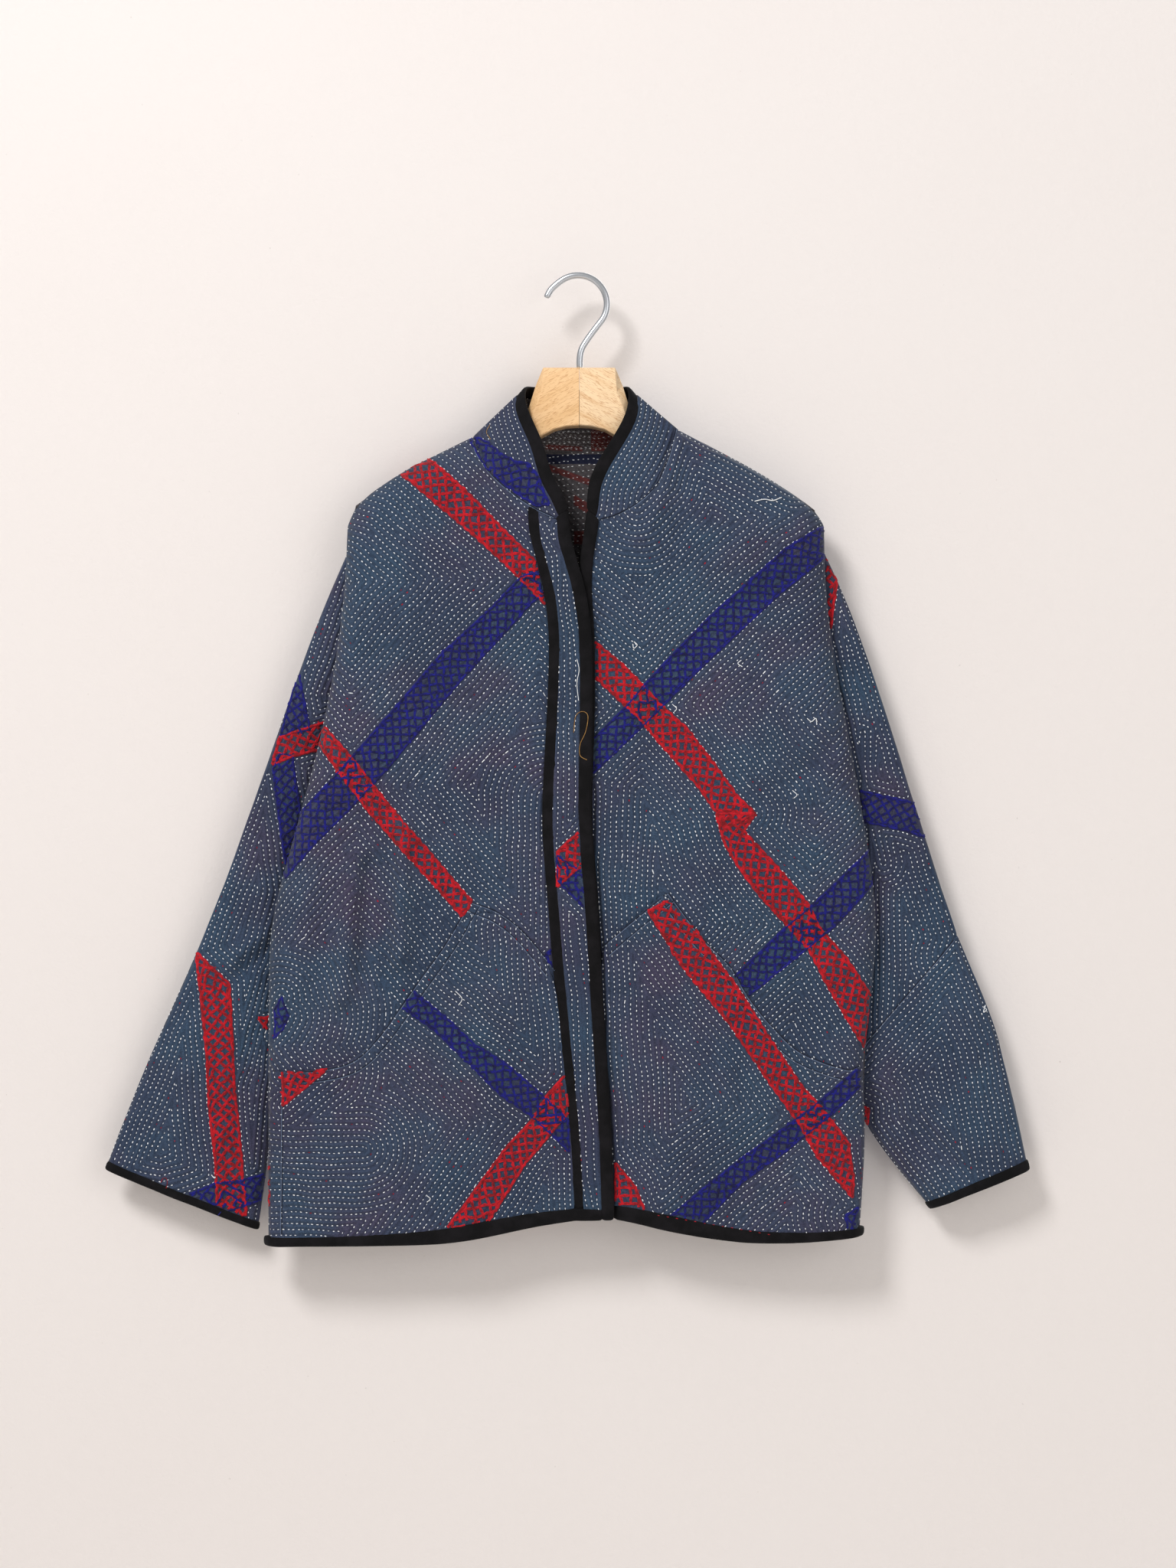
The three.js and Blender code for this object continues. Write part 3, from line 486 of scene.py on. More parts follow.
def softened(node, levels, crease, growth=0.0):
    """The node's own form, subdivided. Its sharp rims keep this much of their sharpness."""
    bm = bmesh.new()
    bm.from_mesh(nodes[node].data)
    bmesh.ops.remove_doubles(bm, verts=bm.verts, dist=WELD)
    bmesh.ops.join_triangles(bm, faces=bm.faces, angle_face_threshold=radians(70),
                             angle_shape_threshold=radians(75), topology_influence=1.5)
    grow_rims(bm, growth)
    layer = bm.edges.layers.float.new("crease_edge")
    for edge in bm.edges:
        if is_sharp(edge):
            edge[layer] = crease
    mesh = bpy.data.meshes.new(node)
    bm.to_mesh(mesh)
    bm.free()
    carrier = bpy.data.objects.new(node, mesh)
    bpy.context.scene.collection.objects.link(carrier)
    modifier = carrier.modifiers.new("soften", "SUBSURF")
    modifier.levels = levels
    modifier.render_levels = levels
    graph = bpy.context.evaluated_depsgraph_get()
    result = bpy.data.meshes.new_from_object(carrier.evaluated_get(graph))
    bpy.data.objects.remove(carrier)
    return result


CAST_FROM = 0.3  # m in front of the garment or behind it, where rays to its cloth start


class Skin:
    """The outside of several pieces, to land stitches on."""

    def __init__(self, meshes):
        points, faces, self.owner = [], [], []
        for name, mesh in meshes.items():
            start = len(points)
            points.extend(v.co for v in mesh.vertices)
            faces.extend([i + start for i in polygon.vertices] for polygon in mesh.polygons)
            self.owner.extend([name] * len(mesh.polygons))
        self.tree = BVHTree.FromPolygons(points, faces)

    def hit(self, origin, direction):
        place, normal, face, _ = self.tree.ray_cast(origin, direction)
        if place is None:
            return None
        if normal.dot(direction) > 0:
            normal = -normal
        return place, normal, self.owner[face]

    def land(self, flat, facing):
        """Where points given as (x, z) mm land, cast from the side that faces -Y or +Y."""
        way = Vector((0, -facing, 0))
        return [self.hit(Vector((x * MM, facing * CAST_FROM, z * MM)), way) for x, z in flat]


# ---------------------------------------------------------------- materials

def shader(name, roughness, sheen=0.0, metallic=0.0, specular=0.3):
    material = bpy.data.materials.new(name)
    material.use_nodes = True
    tree = material.node_tree
    surface = tree.nodes["Principled BSDF"]
    surface.inputs["Roughness"].default_value = roughness
    surface.inputs["Metallic"].default_value = metallic
    surface.inputs["Specular IOR Level"].default_value = specular
    surface.inputs["Sheen Weight"].default_value = sheen
    surface.inputs["Sheen Roughness"].default_value = 0.5
    return material, Nodes(tree, surface)


class Nodes:
    """Short ways to add shader nodes."""

    def __init__(self, tree, surface):
        self.tree = tree
        self.surface = surface

    def node(self, kind, **settings):
        made = self.tree.nodes.new(kind)
        for key, value in settings.items():
            setattr(made, key, value)
        return made

    def feed(self, socket, value):
        if isinstance(value, bpy.types.NodeSocket):
            self.tree.links.new(value, socket)
        else:
            socket.default_value = value

    def colour(self, value):
        self.feed(self.surface.inputs["Base Color"], value)

    def relief(self, value):
        self.feed(self.surface.inputs["Normal"], value)

    def place(self):
        return self.node("ShaderNodeTexCoord").outputs["Object"]

    def scaled(self, vector, scale, turn=(0, 0, 0)):
        made = self.node("ShaderNodeMapping")
        self.feed(made.inputs["Vector"], vector)
        made.inputs["Scale"].default_value = scale
        made.inputs["Rotation"].default_value = turn
        return made.outputs["Vector"]

    def noise(self, vector, scale, detail=2.0, rough=0.5):
        made = self.node("ShaderNodeTexNoise")
        self.feed(made.inputs["Vector"], vector)
        made.inputs["Scale"].default_value = scale
        made.inputs["Detail"].default_value = detail
        made.inputs["Roughness"].default_value = rough
        return made.outputs["Fac"]

    def math(self, operation, a, b=0.0, c=0.0):
        made = self.node("ShaderNodeMath", operation=operation)
        for socket, value in zip(made.inputs, (a, b, c)):
            self.feed(socket, value)
        return made.outputs[0]

    def ramp(self, value, low, high, to_low=0.0, to_high=1.0):
        made = self.node("ShaderNodeMapRange", interpolation_type="SMOOTHSTEP")
        self.feed(made.inputs["Value"], value)
        made.inputs["From Min"].default_value = low
        made.inputs["From Max"].default_value = high
        made.inputs["To Min"].default_value = to_low
        made.inputs["To Max"].default_value = to_high
        return made.outputs["Result"]

    def mix(self, share, a, b, blend="MIX"):
        made = self.node("ShaderNodeMix", data_type="RGBA", blend_type=blend)
        self.feed(made.inputs["Factor"], share)
        self.feed(made.inputs["A"], a)
        self.feed(made.inputs["B"], b)
        return made.outputs["Result"]

    def stripe(self, x, z, from_x, to_x, start_z, slope, half):
        """1 on a slanted stripe from one x to another, with its middle at start_z at the first of them."""
        edge = 0.0008  # m over which its borders blur
        middle = self.math("MULTIPLY_ADD", x, slope, start_z - slope * from_x)
        away = self.math("ABSOLUTE", self.math("SUBTRACT", z, middle))
        inside = self.ramp(away, half - edge, half + edge, 1.0, 0.0)
        after = self.ramp(x, from_x - edge, from_x + edge)
        before = self.ramp(x, to_x - edge, to_x + edge, 1.0, 0.0)
        return self.math("MULTIPLY", inside, self.math("MULTIPLY", after, before))

    def value(self, name):
        return self.node("ShaderNodeAttribute", attribute_name=name).outputs["Fac"]

    def bump(self, height, depth, strength=1.0, under=None):
        made = self.node("ShaderNodeBump")
        self.feed(made.inputs["Height"], height)
        made.inputs["Distance"].default_value = depth
        made.inputs["Strength"].default_value = strength
        if under is not None:
            self.feed(made.inputs["Normal"], under)
        return made.outputs["Normal"]


def rgb(r, g, b):
    """A colour given as it looks on screen, 0 to 255."""
    shares = (r / 255, g / 255, b / 255)
    return (*(c / 12.92 if c <= 0.04045 else ((c + 0.055) / 1.055) ** 2.4 for c in shares), 1.0)


# Maroon strips inside the neck: first and last x, height at the first, slope, half width, in metres.
MAROON = [
    (0.012, 0.046, -0.148, 0.0, 0.010),
    (-0.030, 0.004, -0.154, -0.06, 0.0022),
    (-0.028, 0.016, -0.173, -0.36, 0.0030),
    (-0.004, 0.018, -0.203, -0.62, 0.0050),
    (-0.004, 0.012, -0.238, 0.0, 0.0060),
]


def quilted_cloth():
    material, n = shader("quilted cloth", 0.9, sheen=0.12, specular=0.18)
    place = n.place()
    row = n.value("row")
    wave = n.math("COSINE", n.math("MULTIPLY", row, 2 * math.pi))
    puff = n.math("MULTIPLY_ADD", wave, 0.5, 0.5)
    blotch = n.ramp(n.noise(place, 7.0, 3.0, 0.55), 0.38, 0.62)
    cloud = n.ramp(n.noise(place, 26.0, 3.0, 0.6), 0.3, 0.7)
    fleck = n.noise(place, 900.0, 2.0, 0.7)
    slate = n.mix(blotch, rgb(64, 82, 106), rgb(76, 70, 94))
    slate = n.mix(n.math("MULTIPLY", cloud, 0.45), slate, rgb(50, 82, 106))
    # Darker in random broad patches.
    darker_patches = n.ramp(n.noise(place, 11.0, 3.0, 0.6), 0.4, 0.68, 0.0, 0.5)
    slate = n.mix(darker_patches, slate, rgb(48, 54, 78))
    slate = n.mix(n.ramp(fleck, 0.35, 0.68, 0.0, 0.6), slate, rgb(32, 38, 56))
    # Painted shade: the cloth is darkened along the stitched lines, in the dips between the quilted puffs.
    slate = n.mix(n.ramp(puff, 0.0, 0.7, 0.3, 0.0), slate, rgb(28, 34, 52))
    parted = n.node("ShaderNodeSeparateXYZ")
    n.feed(parted.inputs["Vector"], place)
    across, height = parted.outputs["X"], parted.outputs["Z"]
    low = n.ramp(height, -0.27, -0.25, 1.0, 0.0)
    maroon = n.math("MULTIPLY", n.ramp(n.noise(place, 26.0, 1.0, 0.4), 0.585, 0.6), low)
    for from_x, to_x, start_z, slope, half in MAROON:
        strip = n.stripe(across, height, from_x, to_x, start_z, slope, half)
        maroon = n.math("MAXIMUM", maroon, strip)
    dull = n.mix(n.math("MULTIPLY", maroon, 0.85), rgb(84, 80, 82), rgb(104, 38, 34))
    dull = n.mix(n.ramp(n.noise(place, 600.0, 2.0, 0.6), 0.4, 0.6, 0.0, 0.4), dull, rgb(46, 44, 52))
    above = n.ramp(height, -0.1705, -0.1695)
    below = n.ramp(height, -0.1615, -0.1605, 1.0, 0.0)
    seam = n.math("MULTIPLY", above, below)
    dull = n.mix(seam, dull, rgb(26, 30, 52))
    n.colour(n.mix(n.value("inner"), slate, dull))
    pucker = n.noise(place, 190.0, 2.0, 0.55)
    relief = n.math("ADD", puff, n.math("MULTIPLY", pucker, 0.75))
    first = n.bump(relief, 0.0011, 0.9)
    n.relief(n.bump(fleck, 0.0003, 0.6, under=first))
    return material


def thread(name, colour, shade, specular=0.3):
    material, n = shader(name, 0.75, sheen=0.15, specular=specular)
    tint = n.ramp(n.noise(n.place(), 240.0, 2.0, 0.6), 0.3, 0.7)
    n.colour(n.mix(tint, shade, colour))
    n.relief(n.bump(n.noise(n.place(), 1500.0, 2.0, 0.6), 0.0004, 0.7))
    return material


def binding():
    material, n = shader("black binding", 0.85, sheen=0.03, specular=0.15)
    place = n.place()
    tint = n.ramp(n.noise(place, 60.0, 3.0, 0.6), 0.35, 0.7)
    n.colour(n.mix(tint, rgb(11, 10, 12), rgb(22, 20, 23)))
    twill = n.noise(n.scaled(place, (1.0, 1.0, 0.3), (0, radians(40), 0)), 1100.0, 2.0, 0.6)
    wrinkle = n.noise(place, 120.0, 2.0, 0.5)
    n.relief(n.bump(twill, 0.0003, 0.5, under=n.bump(wrinkle, 0.0012, 0.5)))
    return material


def wood(name, lean, pale, dark):
    material, n = shader(name, 0.42, specular=0.45)
    grain = n.scaled(n.place(), (1.0, 1.0, 1.0), (0, lean, 0))
    long = n.scaled(grain, (0.07, 1.0, 1.0))
    veins = n.noise(long, 160.0, 3.0, 0.55)
    broad = n.noise(long, 40.0, 2.0, 0.5)
    dashes = n.noise(n.scaled(grain, (0.14, 1.0, 1.0)), 1700.0, 1.0, 0.4)
    tone = n.mix(n.ramp(broad, 0.35, 0.65), pale, dark)
    tone = n.mix(n.ramp(veins, 0.45, 0.75, 0.0, 0.5), tone, rgb(220, 168, 112))
    tone = n.mix(n.ramp(dashes, 0.55, 0.66, 0.0, 0.5), tone, rgb(194, 132, 78))
    n.colour(tone)
    n.relief(n.bump(dashes, 0.0002, 0.25))
    return material


def metal():
    material, n = shader("satin aluminium", 0.3, metallic=1.0, specular=0.5)
    fine = n.noise(n.place(), 900.0, 2.0, 0.5)
    n.colour(n.mix(fine, rgb(196, 199, 204), rgb(222, 224, 228)))
    n.relief(n.bump(fine, 0.0001, 0.3))
    return material


CLOTH = quilted_cloth()
WHITE = thread("white thread", rgb(250, 251, 252), rgb(222, 226, 232))
RED = thread("red thread", rgb(202, 2, 28), rgb(118, 0, 14))
BLUE = thread("blue thread", rgb(12, 16, 128), rgb(3, 4, 58))
GOLD = thread("golden thread", rgb(176, 136, 74), rgb(140, 100, 50))
BINDING = binding()
# Dark cords laid along the seams: painted shadow lines that stand in for the shade in each seam's groove.
SHADE = thread("seam shade", rgb(38, 44, 60), rgb(24, 28, 42), specular=0.1)
# Pale cords beside the seams' grooves: a painted highlight on each seam's raised edge.
EDGE = thread("seam edge", rgb(104, 118, 142), rgb(72, 84, 108), specular=0.1)
THREADS = {
    "red": (RED, "red_thread"),
    "blue": (BLUE, "blue_thread"),
    "white": (WHITE, "white_thread"),
    "gold": (GOLD, "white_thread"),
    "shade": (SHADE, "quilted_cloth"),
    "edge": (EDGE, "quilted_cloth"),
}

# ---------------------------------------------------------------- cloth

CREASE = {"tape": 0.3, "cloth": 0.95}  # how sharp rims stay
GROWTH = {"tape": 1.5, "collar": 2.2, "cloth": 0.4}  # mm by which rims grow
LONG_BAND = 85  # mm, rows run on past the ends of bands longer than this
STRIP = 30  # mm, the width of the back's strips that are drawn out towards the sleeves
FRONTS = ["front_right", "pocket_right", "placket_strip", "front_left", "pocket_left"]
FRONT_TAPES = ["placket_tape", "edge_tape_right", "hem_tape_right", "edge_tape_left", "hem_tape_left"]
SLEEVES = ["sleeve_right", "sleeve_left", "sleeve_left_end"]
CUFFS = ["cuff_tape_right", "cuff_tape_left"]
BACKS = ["back", "hem_tape_back"]
COLLARS = ["collar", "collar_tape"]
LEVELS = {name: 3 for name in [*FRONTS, *SLEEVES, "collar"]}
LEVELS.update({name: 2 for name in [*FRONT_TAPES, *CUFFS, *BACKS, "collar_tape"]})


def run_past(line, at_start, at_end):
    """A line that runs straight on past its ends."""
    line = array(line)
    result = [line]
    if at_start:
        way = line[0] - line[1]
        result.insert(0, (line[0] + way / np.hypot(*way) * RUN_ON)[None])
    if at_end:
        way = line[-1] - line[-2]
        result.append((line[-1] + way / np.hypot(*way) * RUN_ON)[None])
    return np.concatenate(result)


def guides(name):
    """Every line that this piece's rows run beside."""
    edges = []
    for _, one, other, *ends in BANDS.get(name, []):
        at_start, at_end = ends or (length_of(one) > LONG_BAND, length_of(one) > LONG_BAND)
        edges += [run_past(one, at_start, at_end), run_past(other, at_start, at_end)]
    return edges + LINES.get(name, [])


def rows_at(points, name):
    """Place of each point among the rows: a whole number is the ridge between two rows."""
    return distance(points + wander(points), guides(name)) / ROW


def narrow_armholes(points, flat):
    """Draws the back's strips beside the armholes out towards the sleeves."""
    height, left, left_out, right, right_out, forward = array(ARMHOLES).T
    for side, edge, out in ((1, left, left_out), (-1, right, right_out)):
        inward = np.interp(flat[:, 1], height, edge) - side * flat[:, 0]
        share = np.clip(1 - inward / STRIP, 0, 1) ** 2 * MM
        points[:, 0] += side * share * np.interp(flat[:, 1], height, out)
        points[:, 1] -= share * np.interp(flat[:, 1], height, forward)


def shape(name):
    """One cloth or tape with its folds."""
    kind = "tape" if "tape" in name else "cloth"
    mesh = softened(name, LEVELS[name], CREASE[kind], GROWTH.get(name, GROWTH[kind]))
    points = coordinates(mesh)
    flat = points[:, [0, 2]] / MM
    if name in FRONTS or name in FRONT_TAPES:
        deep = np.clip(np.abs(points[:, 1]) / 0.014, 0, 1)
        points[:, 1] -= fold_height(flat, FRONT_FOLDS) * deep * MM
    if name in BACKS:
        deep = np.clip(np.abs(points[:, 1]) / 0.012, 0, 1)
        points[:, 1] += fold_height(flat, BACK_FOLDS) * deep * MM
    if name == "back":
        narrow_armholes(points, flat)
    if name in SLEEVES or name in CUFFS:
        points[:, 1] -= fold_height(flat, SLEEVE_FOLDS) * MM * np.clip((-flat[:, 1] - 300) / 120, 0, 1)
    set_coordinates(mesh, points)
    return mesh


shapes = {name: shape(name) for name in LEVELS}
NECK_AXIS = Vector((0, -0.004, 0))
collar_tree = tree_of(shapes["collar_tape"])


def from_binding(place):
    """Distance of a point from the collar's binding, mm."""
    return collar_tree.find_nearest(place)[3] / MM


def inner_share(name, mesh):
    """1 where a wall's face looks into the garment."""
    normals = vertex_normals(mesh)
    if name in FRONTS:
        return (normals[:, 1] > 0.2).astype(float)
    if name in BACKS:
        return (normals[:, 1] < -0.2).astype(float)
    points = coordinates(mesh)
    if name == "collar":
        outward = normals[:, 0] * points[:, 0] + normals[:, 1] * (points[:, 1] - NECK_AXIS.y)
        return (outward < 0).astype(float)
    tree = tree_of(mesh)
    off_face, across_tube = 0.0004, 0.05  # m
    result = np.zeros(len(mesh.vertices))
    for i, vertex in enumerate(mesh.vertices):
        way = Vector(normals[i])
        result[i] = tree.ray_cast(vertex.co + way * off_face, way, across_tube)[0] is not None
    return result


def dress(name):
    """One cloth, with its place among the rows of stitches and its inside marked for the shader."""
    mesh = shapes[name]
    points = coordinates(mesh)
    flat = points[:, [0, 2]] / MM
    inner = inner_share(name, mesh)
    if name == "collar":
        rows = array([from_binding(Vector(p)) for p in points]) / ROW
        rows = np.where(inner > 0.5, flat[:, 1] / ROW, rows)
    else:
        rows = rows_at(flat, name)
    add_values(mesh, "row", rows)
    add_values(mesh, "inner", inner)
    return stand_in(name, "cloth", mesh, CLOTH, "quilted_cloth")


pieces = {name: dress(name) for name in [*FRONTS, *SLEEVES, "back", "collar"]}
for name in [*FRONT_TAPES, *CUFFS, "hem_tape_back", "collar_tape"]:
    pieces[name] = stand_in(name, "cloth", shapes[name], BINDING, "binding")

# ---------------------------------------------------------------- running stitches

front_skin = Skin({name: shapes[name] for name in [*FRONTS, *FRONT_TAPES, *SLEEVES, *CUFFS, *COLLARS]})
back_skin = Skin({name: shapes[name] for name in [*BACKS, *SLEEVES, *CUFFS, *COLLARS]})


def level_lines(field, origin, step):
    """Runs of places along which a grid of values is a whole number."""
    whole = np.floor(field)
    mixed = np.zeros((field.shape[0] - 1, field.shape[1] - 1), dtype=bool)
    for corner in (whole[1:, :-1], whole[:-1, 1:], whole[1:, 1:]):
        mixed |= whole[:-1, :-1] != corner
    spots, links = {}, {}

    def crossing(i, j, k, m):
        if whole[i, j] == whole[k, m]:
            return None
        level = max(whole[i, j], whole[k, m])
        share = (level - field[i, j]) / (field[k, m] - field[i, j])
        spots[i, j, k, m] = origin + step * array([i + share * (k - i), j + share * (m - j)])
        return level, (i, j, k, m)

    for i, j in np.argwhere(mixed):
        if np.isnan(field[i:i + 2, j:j + 2]).any():
            continue
        sides = [(i, j, i + 1, j), (i + 1, j, i + 1, j + 1), (i, j + 1, i + 1, j + 1), (i, j, i, j + 1)]
        found = sorted(cross for cross in (crossing(*side) for side in sides) if cross)
        for (level, one), (same, other) in zip(found[::2], found[1::2]):
            if level == same:
                links.setdefault(one, []).append(other)
                links.setdefault(other, []).append(one)
    runs = []
    for start in [spot for spot in links if len(links[spot]) == 1] + list(links):
        run = []
        onward = [start] if start in links else []
        while onward:
            run.append(spots[onward[0]])
            onward = [spot for spot in links.pop(onward[0]) if spot in links]
        if len(run) > 1:
            runs.append(array(run))
    return runs


UNEVEN = 0.32  # mm, the spread of the distances between stitches
NEARBY = 0.6  # mm each way, to find a line's direction
GRID = 2.3  # mm, the step of the field that rows are traced in


def paced(line):
    """Places and directions of the stitches along a line of points, mm."""
    along = np.concatenate([[0], np.cumsum(np.linalg.norm(np.diff(line, axis=0), axis=1))])
    at = np.arange(rng.uniform(0, PITCH), along[-1], PITCH)
    at = np.clip(at + rng.normal(0, UNEVEN, len(at)), NEARBY, along[-1] - NEARBY)

    def spots(places):
        return np.stack([np.interp(places, along, line[:, k]) for k in range(line.shape[1])], axis=1)

    return spots(at), spots(at + NEARBY) - spots(at - NEARBY)


def row_stitches(name, low, high):
    """Places and directions of the stitches along every row of a field, mm."""
    margin = 4  # mm
    count = ((array(high) - array(low) + 2 * margin) / GRID).astype(int) + 2
    origin = array(low) - margin
    grid = np.stack(np.meshgrid(np.arange(count[0]), np.arange(count[1]), indexing="ij"), axis=-1)
    field = rows_at(origin + GRID * grid.reshape(-1, 2), name).reshape(count) - 0.5
    places, ways = zip(*[paced(run) for run in level_lines(field, origin, GRID)])
    return np.concatenate(places), np.concatenate(ways)


SUNK = 0.0001  # m by which a stitch's foot lies in the cloth


class Stitches:
    """Many small raised stitches, kept as arrays until they become one mesh."""

    def __init__(self):
        self.rows = []

    def add(self, place, normal, way, length, width=0.8, height=0.5):
        self.rows.append((*place, *normal, *way, length * MM, width * MM, height * MM))

    def build(self, name, material, slot):
        data = array(self.rows)
        middle, normal, way = data[:, 0:3], data[:, 3:6], data[:, 6:9]
        length, width, height = data[:, 9:10], data[:, 10:11], data[:, 11:12]
        way = way - normal * (way * normal).sum(axis=1, keepdims=True)
        way /= np.linalg.norm(way, axis=1, keepdims=True) + 1e-9
        side = np.cross(normal, way)
        low = middle - normal * SUNK
        quarter, half = way * length / 4, side * width / 2
        points = np.stack([
            low - way * length / 2, low - quarter + half, low + quarter + half,
            low + way * length / 2, low + quarter - half, low - quarter - half,
            middle - way * length / 5 + normal * height, middle + way * length / 5 + normal * height,
        ], axis=1).reshape(-1, 3)
        tile = array([
            (0, 6, 1), (1, 6, 7), (1, 7, 2), (2, 7, 3),
            (3, 7, 4), (4, 7, 6), (4, 6, 5), (5, 6, 0),
        ])
        faces = (np.arange(len(data))[:, None, None] * 8 + tile.astype(int)[None]).reshape(-1, 3)
        obj = link(name, mesh_of(name, points, faces), material, slot)
        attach(obj, "root")
        return obj


def on_band(flat, name):
    """Which points lie within one of the piece's bands."""
    result = np.zeros(len(flat), dtype=bool)
    for _, one, other, *_ in BANDS.get(name, []):
        result |= inside(flat, one + other[::-1])
    return result


MISSED = 0.015  # the share of stitches that are left out
LONG = 0.005  # the share that are LONGER times as long
LONGER = 2.3
RED_ANYWHERE = 0.008  # the share that are red
RED_IN_SPOTS = 0.07  # and how many more are where the red spots lie


def sew(name, skin, facing, white, red):
    """Running stitches on one side of one piece."""
    low, high = ([v / MM for v in corner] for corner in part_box(name))
    flat, ways = row_stitches(name, (low[0], low[2]), (high[0], high[2]))
    if facing < 0 or name == "back":
        clear = ~on_band(flat, name)
        flat, ways = flat[clear], ways[clear]
    reds = drift(flat, 60, 21)
    for i, hit in enumerate(skin.land(flat, facing)):
        if hit is None or hit[2] != name or rng.random() < MISSED:
            continue
        way = Vector((ways[i][0], 0, ways[i][1])).normalized() + Vector(rng.normal(0, 0.1, 3))
        length = rng.normal(STITCH, 0.25)
        if rng.random() < LONG:
            length *= LONGER
        bag = red if rng.random() < RED_ANYWHERE + RED_IN_SPOTS * (reds[i] > 0.8) else white
        bag.add(hit[0], hit[1], way, length, rng.uniform(0.6, 1.15))


def sew_collar(white):
    """Rows beside the collar's binding on its outside, level ones on its inside, round the neck."""
    skin = Skin({"collar": shapes["collar"]})
    band = COLLAR_BAND[1] + COLLAR_BAND[2][::-1]
    turn_step, height_step = 0.04, 2.0  # radians, mm
    around = np.arange(0, 2 * math.pi + turn_step, turn_step)
    heights = np.arange(-226, -98, height_step)
    for outward in (False, True):
        def landed(turn, z):
            spoke = Vector((math.cos(turn), math.sin(turn), 0))
            start = NECK_AXIS + Vector((0, 0, z * MM)) + spoke * (0.001 if outward else 0.2)
            return skin.hit(start, spoke if outward else -spoke)

        field = np.full((len(around), len(heights)), np.nan)
        for i, turn in enumerate(around):
            for j, z in enumerate(heights):
                hit = landed(turn, z)
                if hit is not None:
                    beside = z + math.sin(turn * 9) if outward else from_binding(hit[0])
                    field[i, j] = beside / ROW - 0.5
        for run in level_lines(field, np.zeros(2), 1.0):
            hits = [landed(around[0] + i * turn_step, heights[0] + j * height_step) for i, j in run]
            hits = [hit for hit in hits if hit is not None]
            if len(hits) < 3:
                continue
            for place, way in zip(*paced(array([hit[0] for hit in hits]) / MM)):
                nearest = skin.tree.find_nearest(Vector(place * MM))
                normal = nearest[1]
                side = nearest[0] - NECK_AXIS
                if (normal.x * side.x + normal.y * side.y > 0) == outward:
                    normal = -normal
                flat = array([[place[0], place[2]]])
                if not outward and normal.y < 0 and inside(flat, band)[0]:
                    continue
                white.add(nearest[0], normal, Vector(way), rng.normal(STITCH, 0.2))


def sew_inside_back(white):
    """Rows across the inside of the back, which show through the open neck."""
    skin = Skin({"back": shapes["back"]})
    for z in np.arange(-300, -140, ROW):
        for x in np.arange(-78, 76, PITCH):
            spot = (x + rng.normal(0, 0.5), z + 2.4 * math.sin(x / 17 + z / 30) + rng.normal(0, 0.25))
            hit = skin.hit(Vector((spot[0] * MM, -0.001, spot[1] * MM)), Vector((0, 1, 0)))
            if hit is not None:
                way = Vector((1, 0, 0.14 * math.cos(x / 17 + z / 30) + rng.normal(0, 0.05)))
                white.add(hit[0], hit[1], way, rng.normal(STITCH, 0.25))


reds = Stitches()
with_pieces = {name: [] for name in pieces}
for name in [*FRONTS, *SLEEVES, "back"]:
    whites = Stitches()
    if name != "back":
        sew(name, front_skin, -1, whites, reds)
    if name not in FRONTS:
        sew(name, back_skin, 1, whites, reds)
    if name == "back":
        sew_inside_back(whites)
    with_pieces[name].append(whites.build(f"{name}_stitches", WHITE, "white_thread"))
whites = Stitches()
sew_collar(whites)
with_pieces["collar"].append(whites.build("collar_stitches", WHITE, "white_thread"))
for hit in front_skin.land(HEM_DOTS, -1):
    reds.add(hit[0], hit[1], Vector((1, 0, -0.17)), 2.6)
with_pieces["front_right"].append(reds.build("red_stitches", RED, "red_thread"))

# ---------------------------------------------------------------- lattice bands

THREAD = {"red": 3.1, "blue": 2.7}  # mm, how wide the chain stitches lie
EDGE_THREAD = 0.85  # of that width, for the lines down a band's edges and across its ends
KNOT_SPREAD = 0.75  # mm by which the lattice's knots stray
PASSED_OVER = 0.4  # the share of a blue band's threads that are left out where a red band crosses it
STRAND = 0.52  # of that width, for each of a chain's two strands
SECTION = [(-0.5, 0.0), (-0.26, 1.0), (0.26, 1.0), (0.5, 0.0)]  # a thread lying on cloth


class Cords:
    """Threads that lie on the cloth, drawn through landed points."""

    def __init__(self):
        self.points = []
        self.faces = []

    def lay(self, landed, width, height, lift=0.0):
        """landed is a run of (place, normal)."""
        if len(landed) < 2:
            return
        start = len(self.points)
        for i, (place, normal) in enumerate(landed):
            before = landed[max(i - 1, 0)][0]
            after = landed[min(i + 1, len(landed) - 1)][0]
            way = (after - before).normalized()
            side = normal.cross(way).normalized()
            for across, up in SECTION:
                rise = up * height + lift - 0.1
                self.points.append(place + side * across * width * MM + normal * rise * MM)
        for i in range(len(landed) - 1):
            for j in range(3):
                a = start + i * 4 + j
                self.faces.append((a, a + 1, a + 5, a + 4))

    def build(self, name, colour):
        points = array([tuple(p) for p in self.points])
        material, slot = THREADS[colour]
        obj = link(name, mesh_of(name, points, array(self.faces).astype(int)), material, slot)
        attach(obj, "root")
        return obj


def resample(line, count):
    """count + 1 even points on a smoothed line."""
    line = array(line)
    along = np.concatenate([[0], np.cumsum(np.hypot(*np.diff(line, axis=0).T))])
    at = np.linspace(0, along[-1], count + 1)
    return np.stack([np.interp(at, along, line[:, 0]), np.interp(at, along, line[:, 1])], axis=1)


def run_on(points, skin, facing, name=None):
    """Lands a run of (x, z) points and keeps the parts that fall on the named piece, or on any."""
    runs, current = [], []
    for hit in skin.land(points, facing):
        if hit is None or (name and hit[2] != name):
            runs.append(current)
            current = []
        else:
            current.append((hit[0], hit[1]))
    runs.append(current)
    return [run for run in runs if len(run) > 1]


def under_red(place, name):
    """Whether a blue band's thread crosses a red band here."""
    return any(
        colour == "red" and inside(place[None], one + other[::-1])[0]
        for colour, one, other, *_ in BANDS.get(name, [])
    )


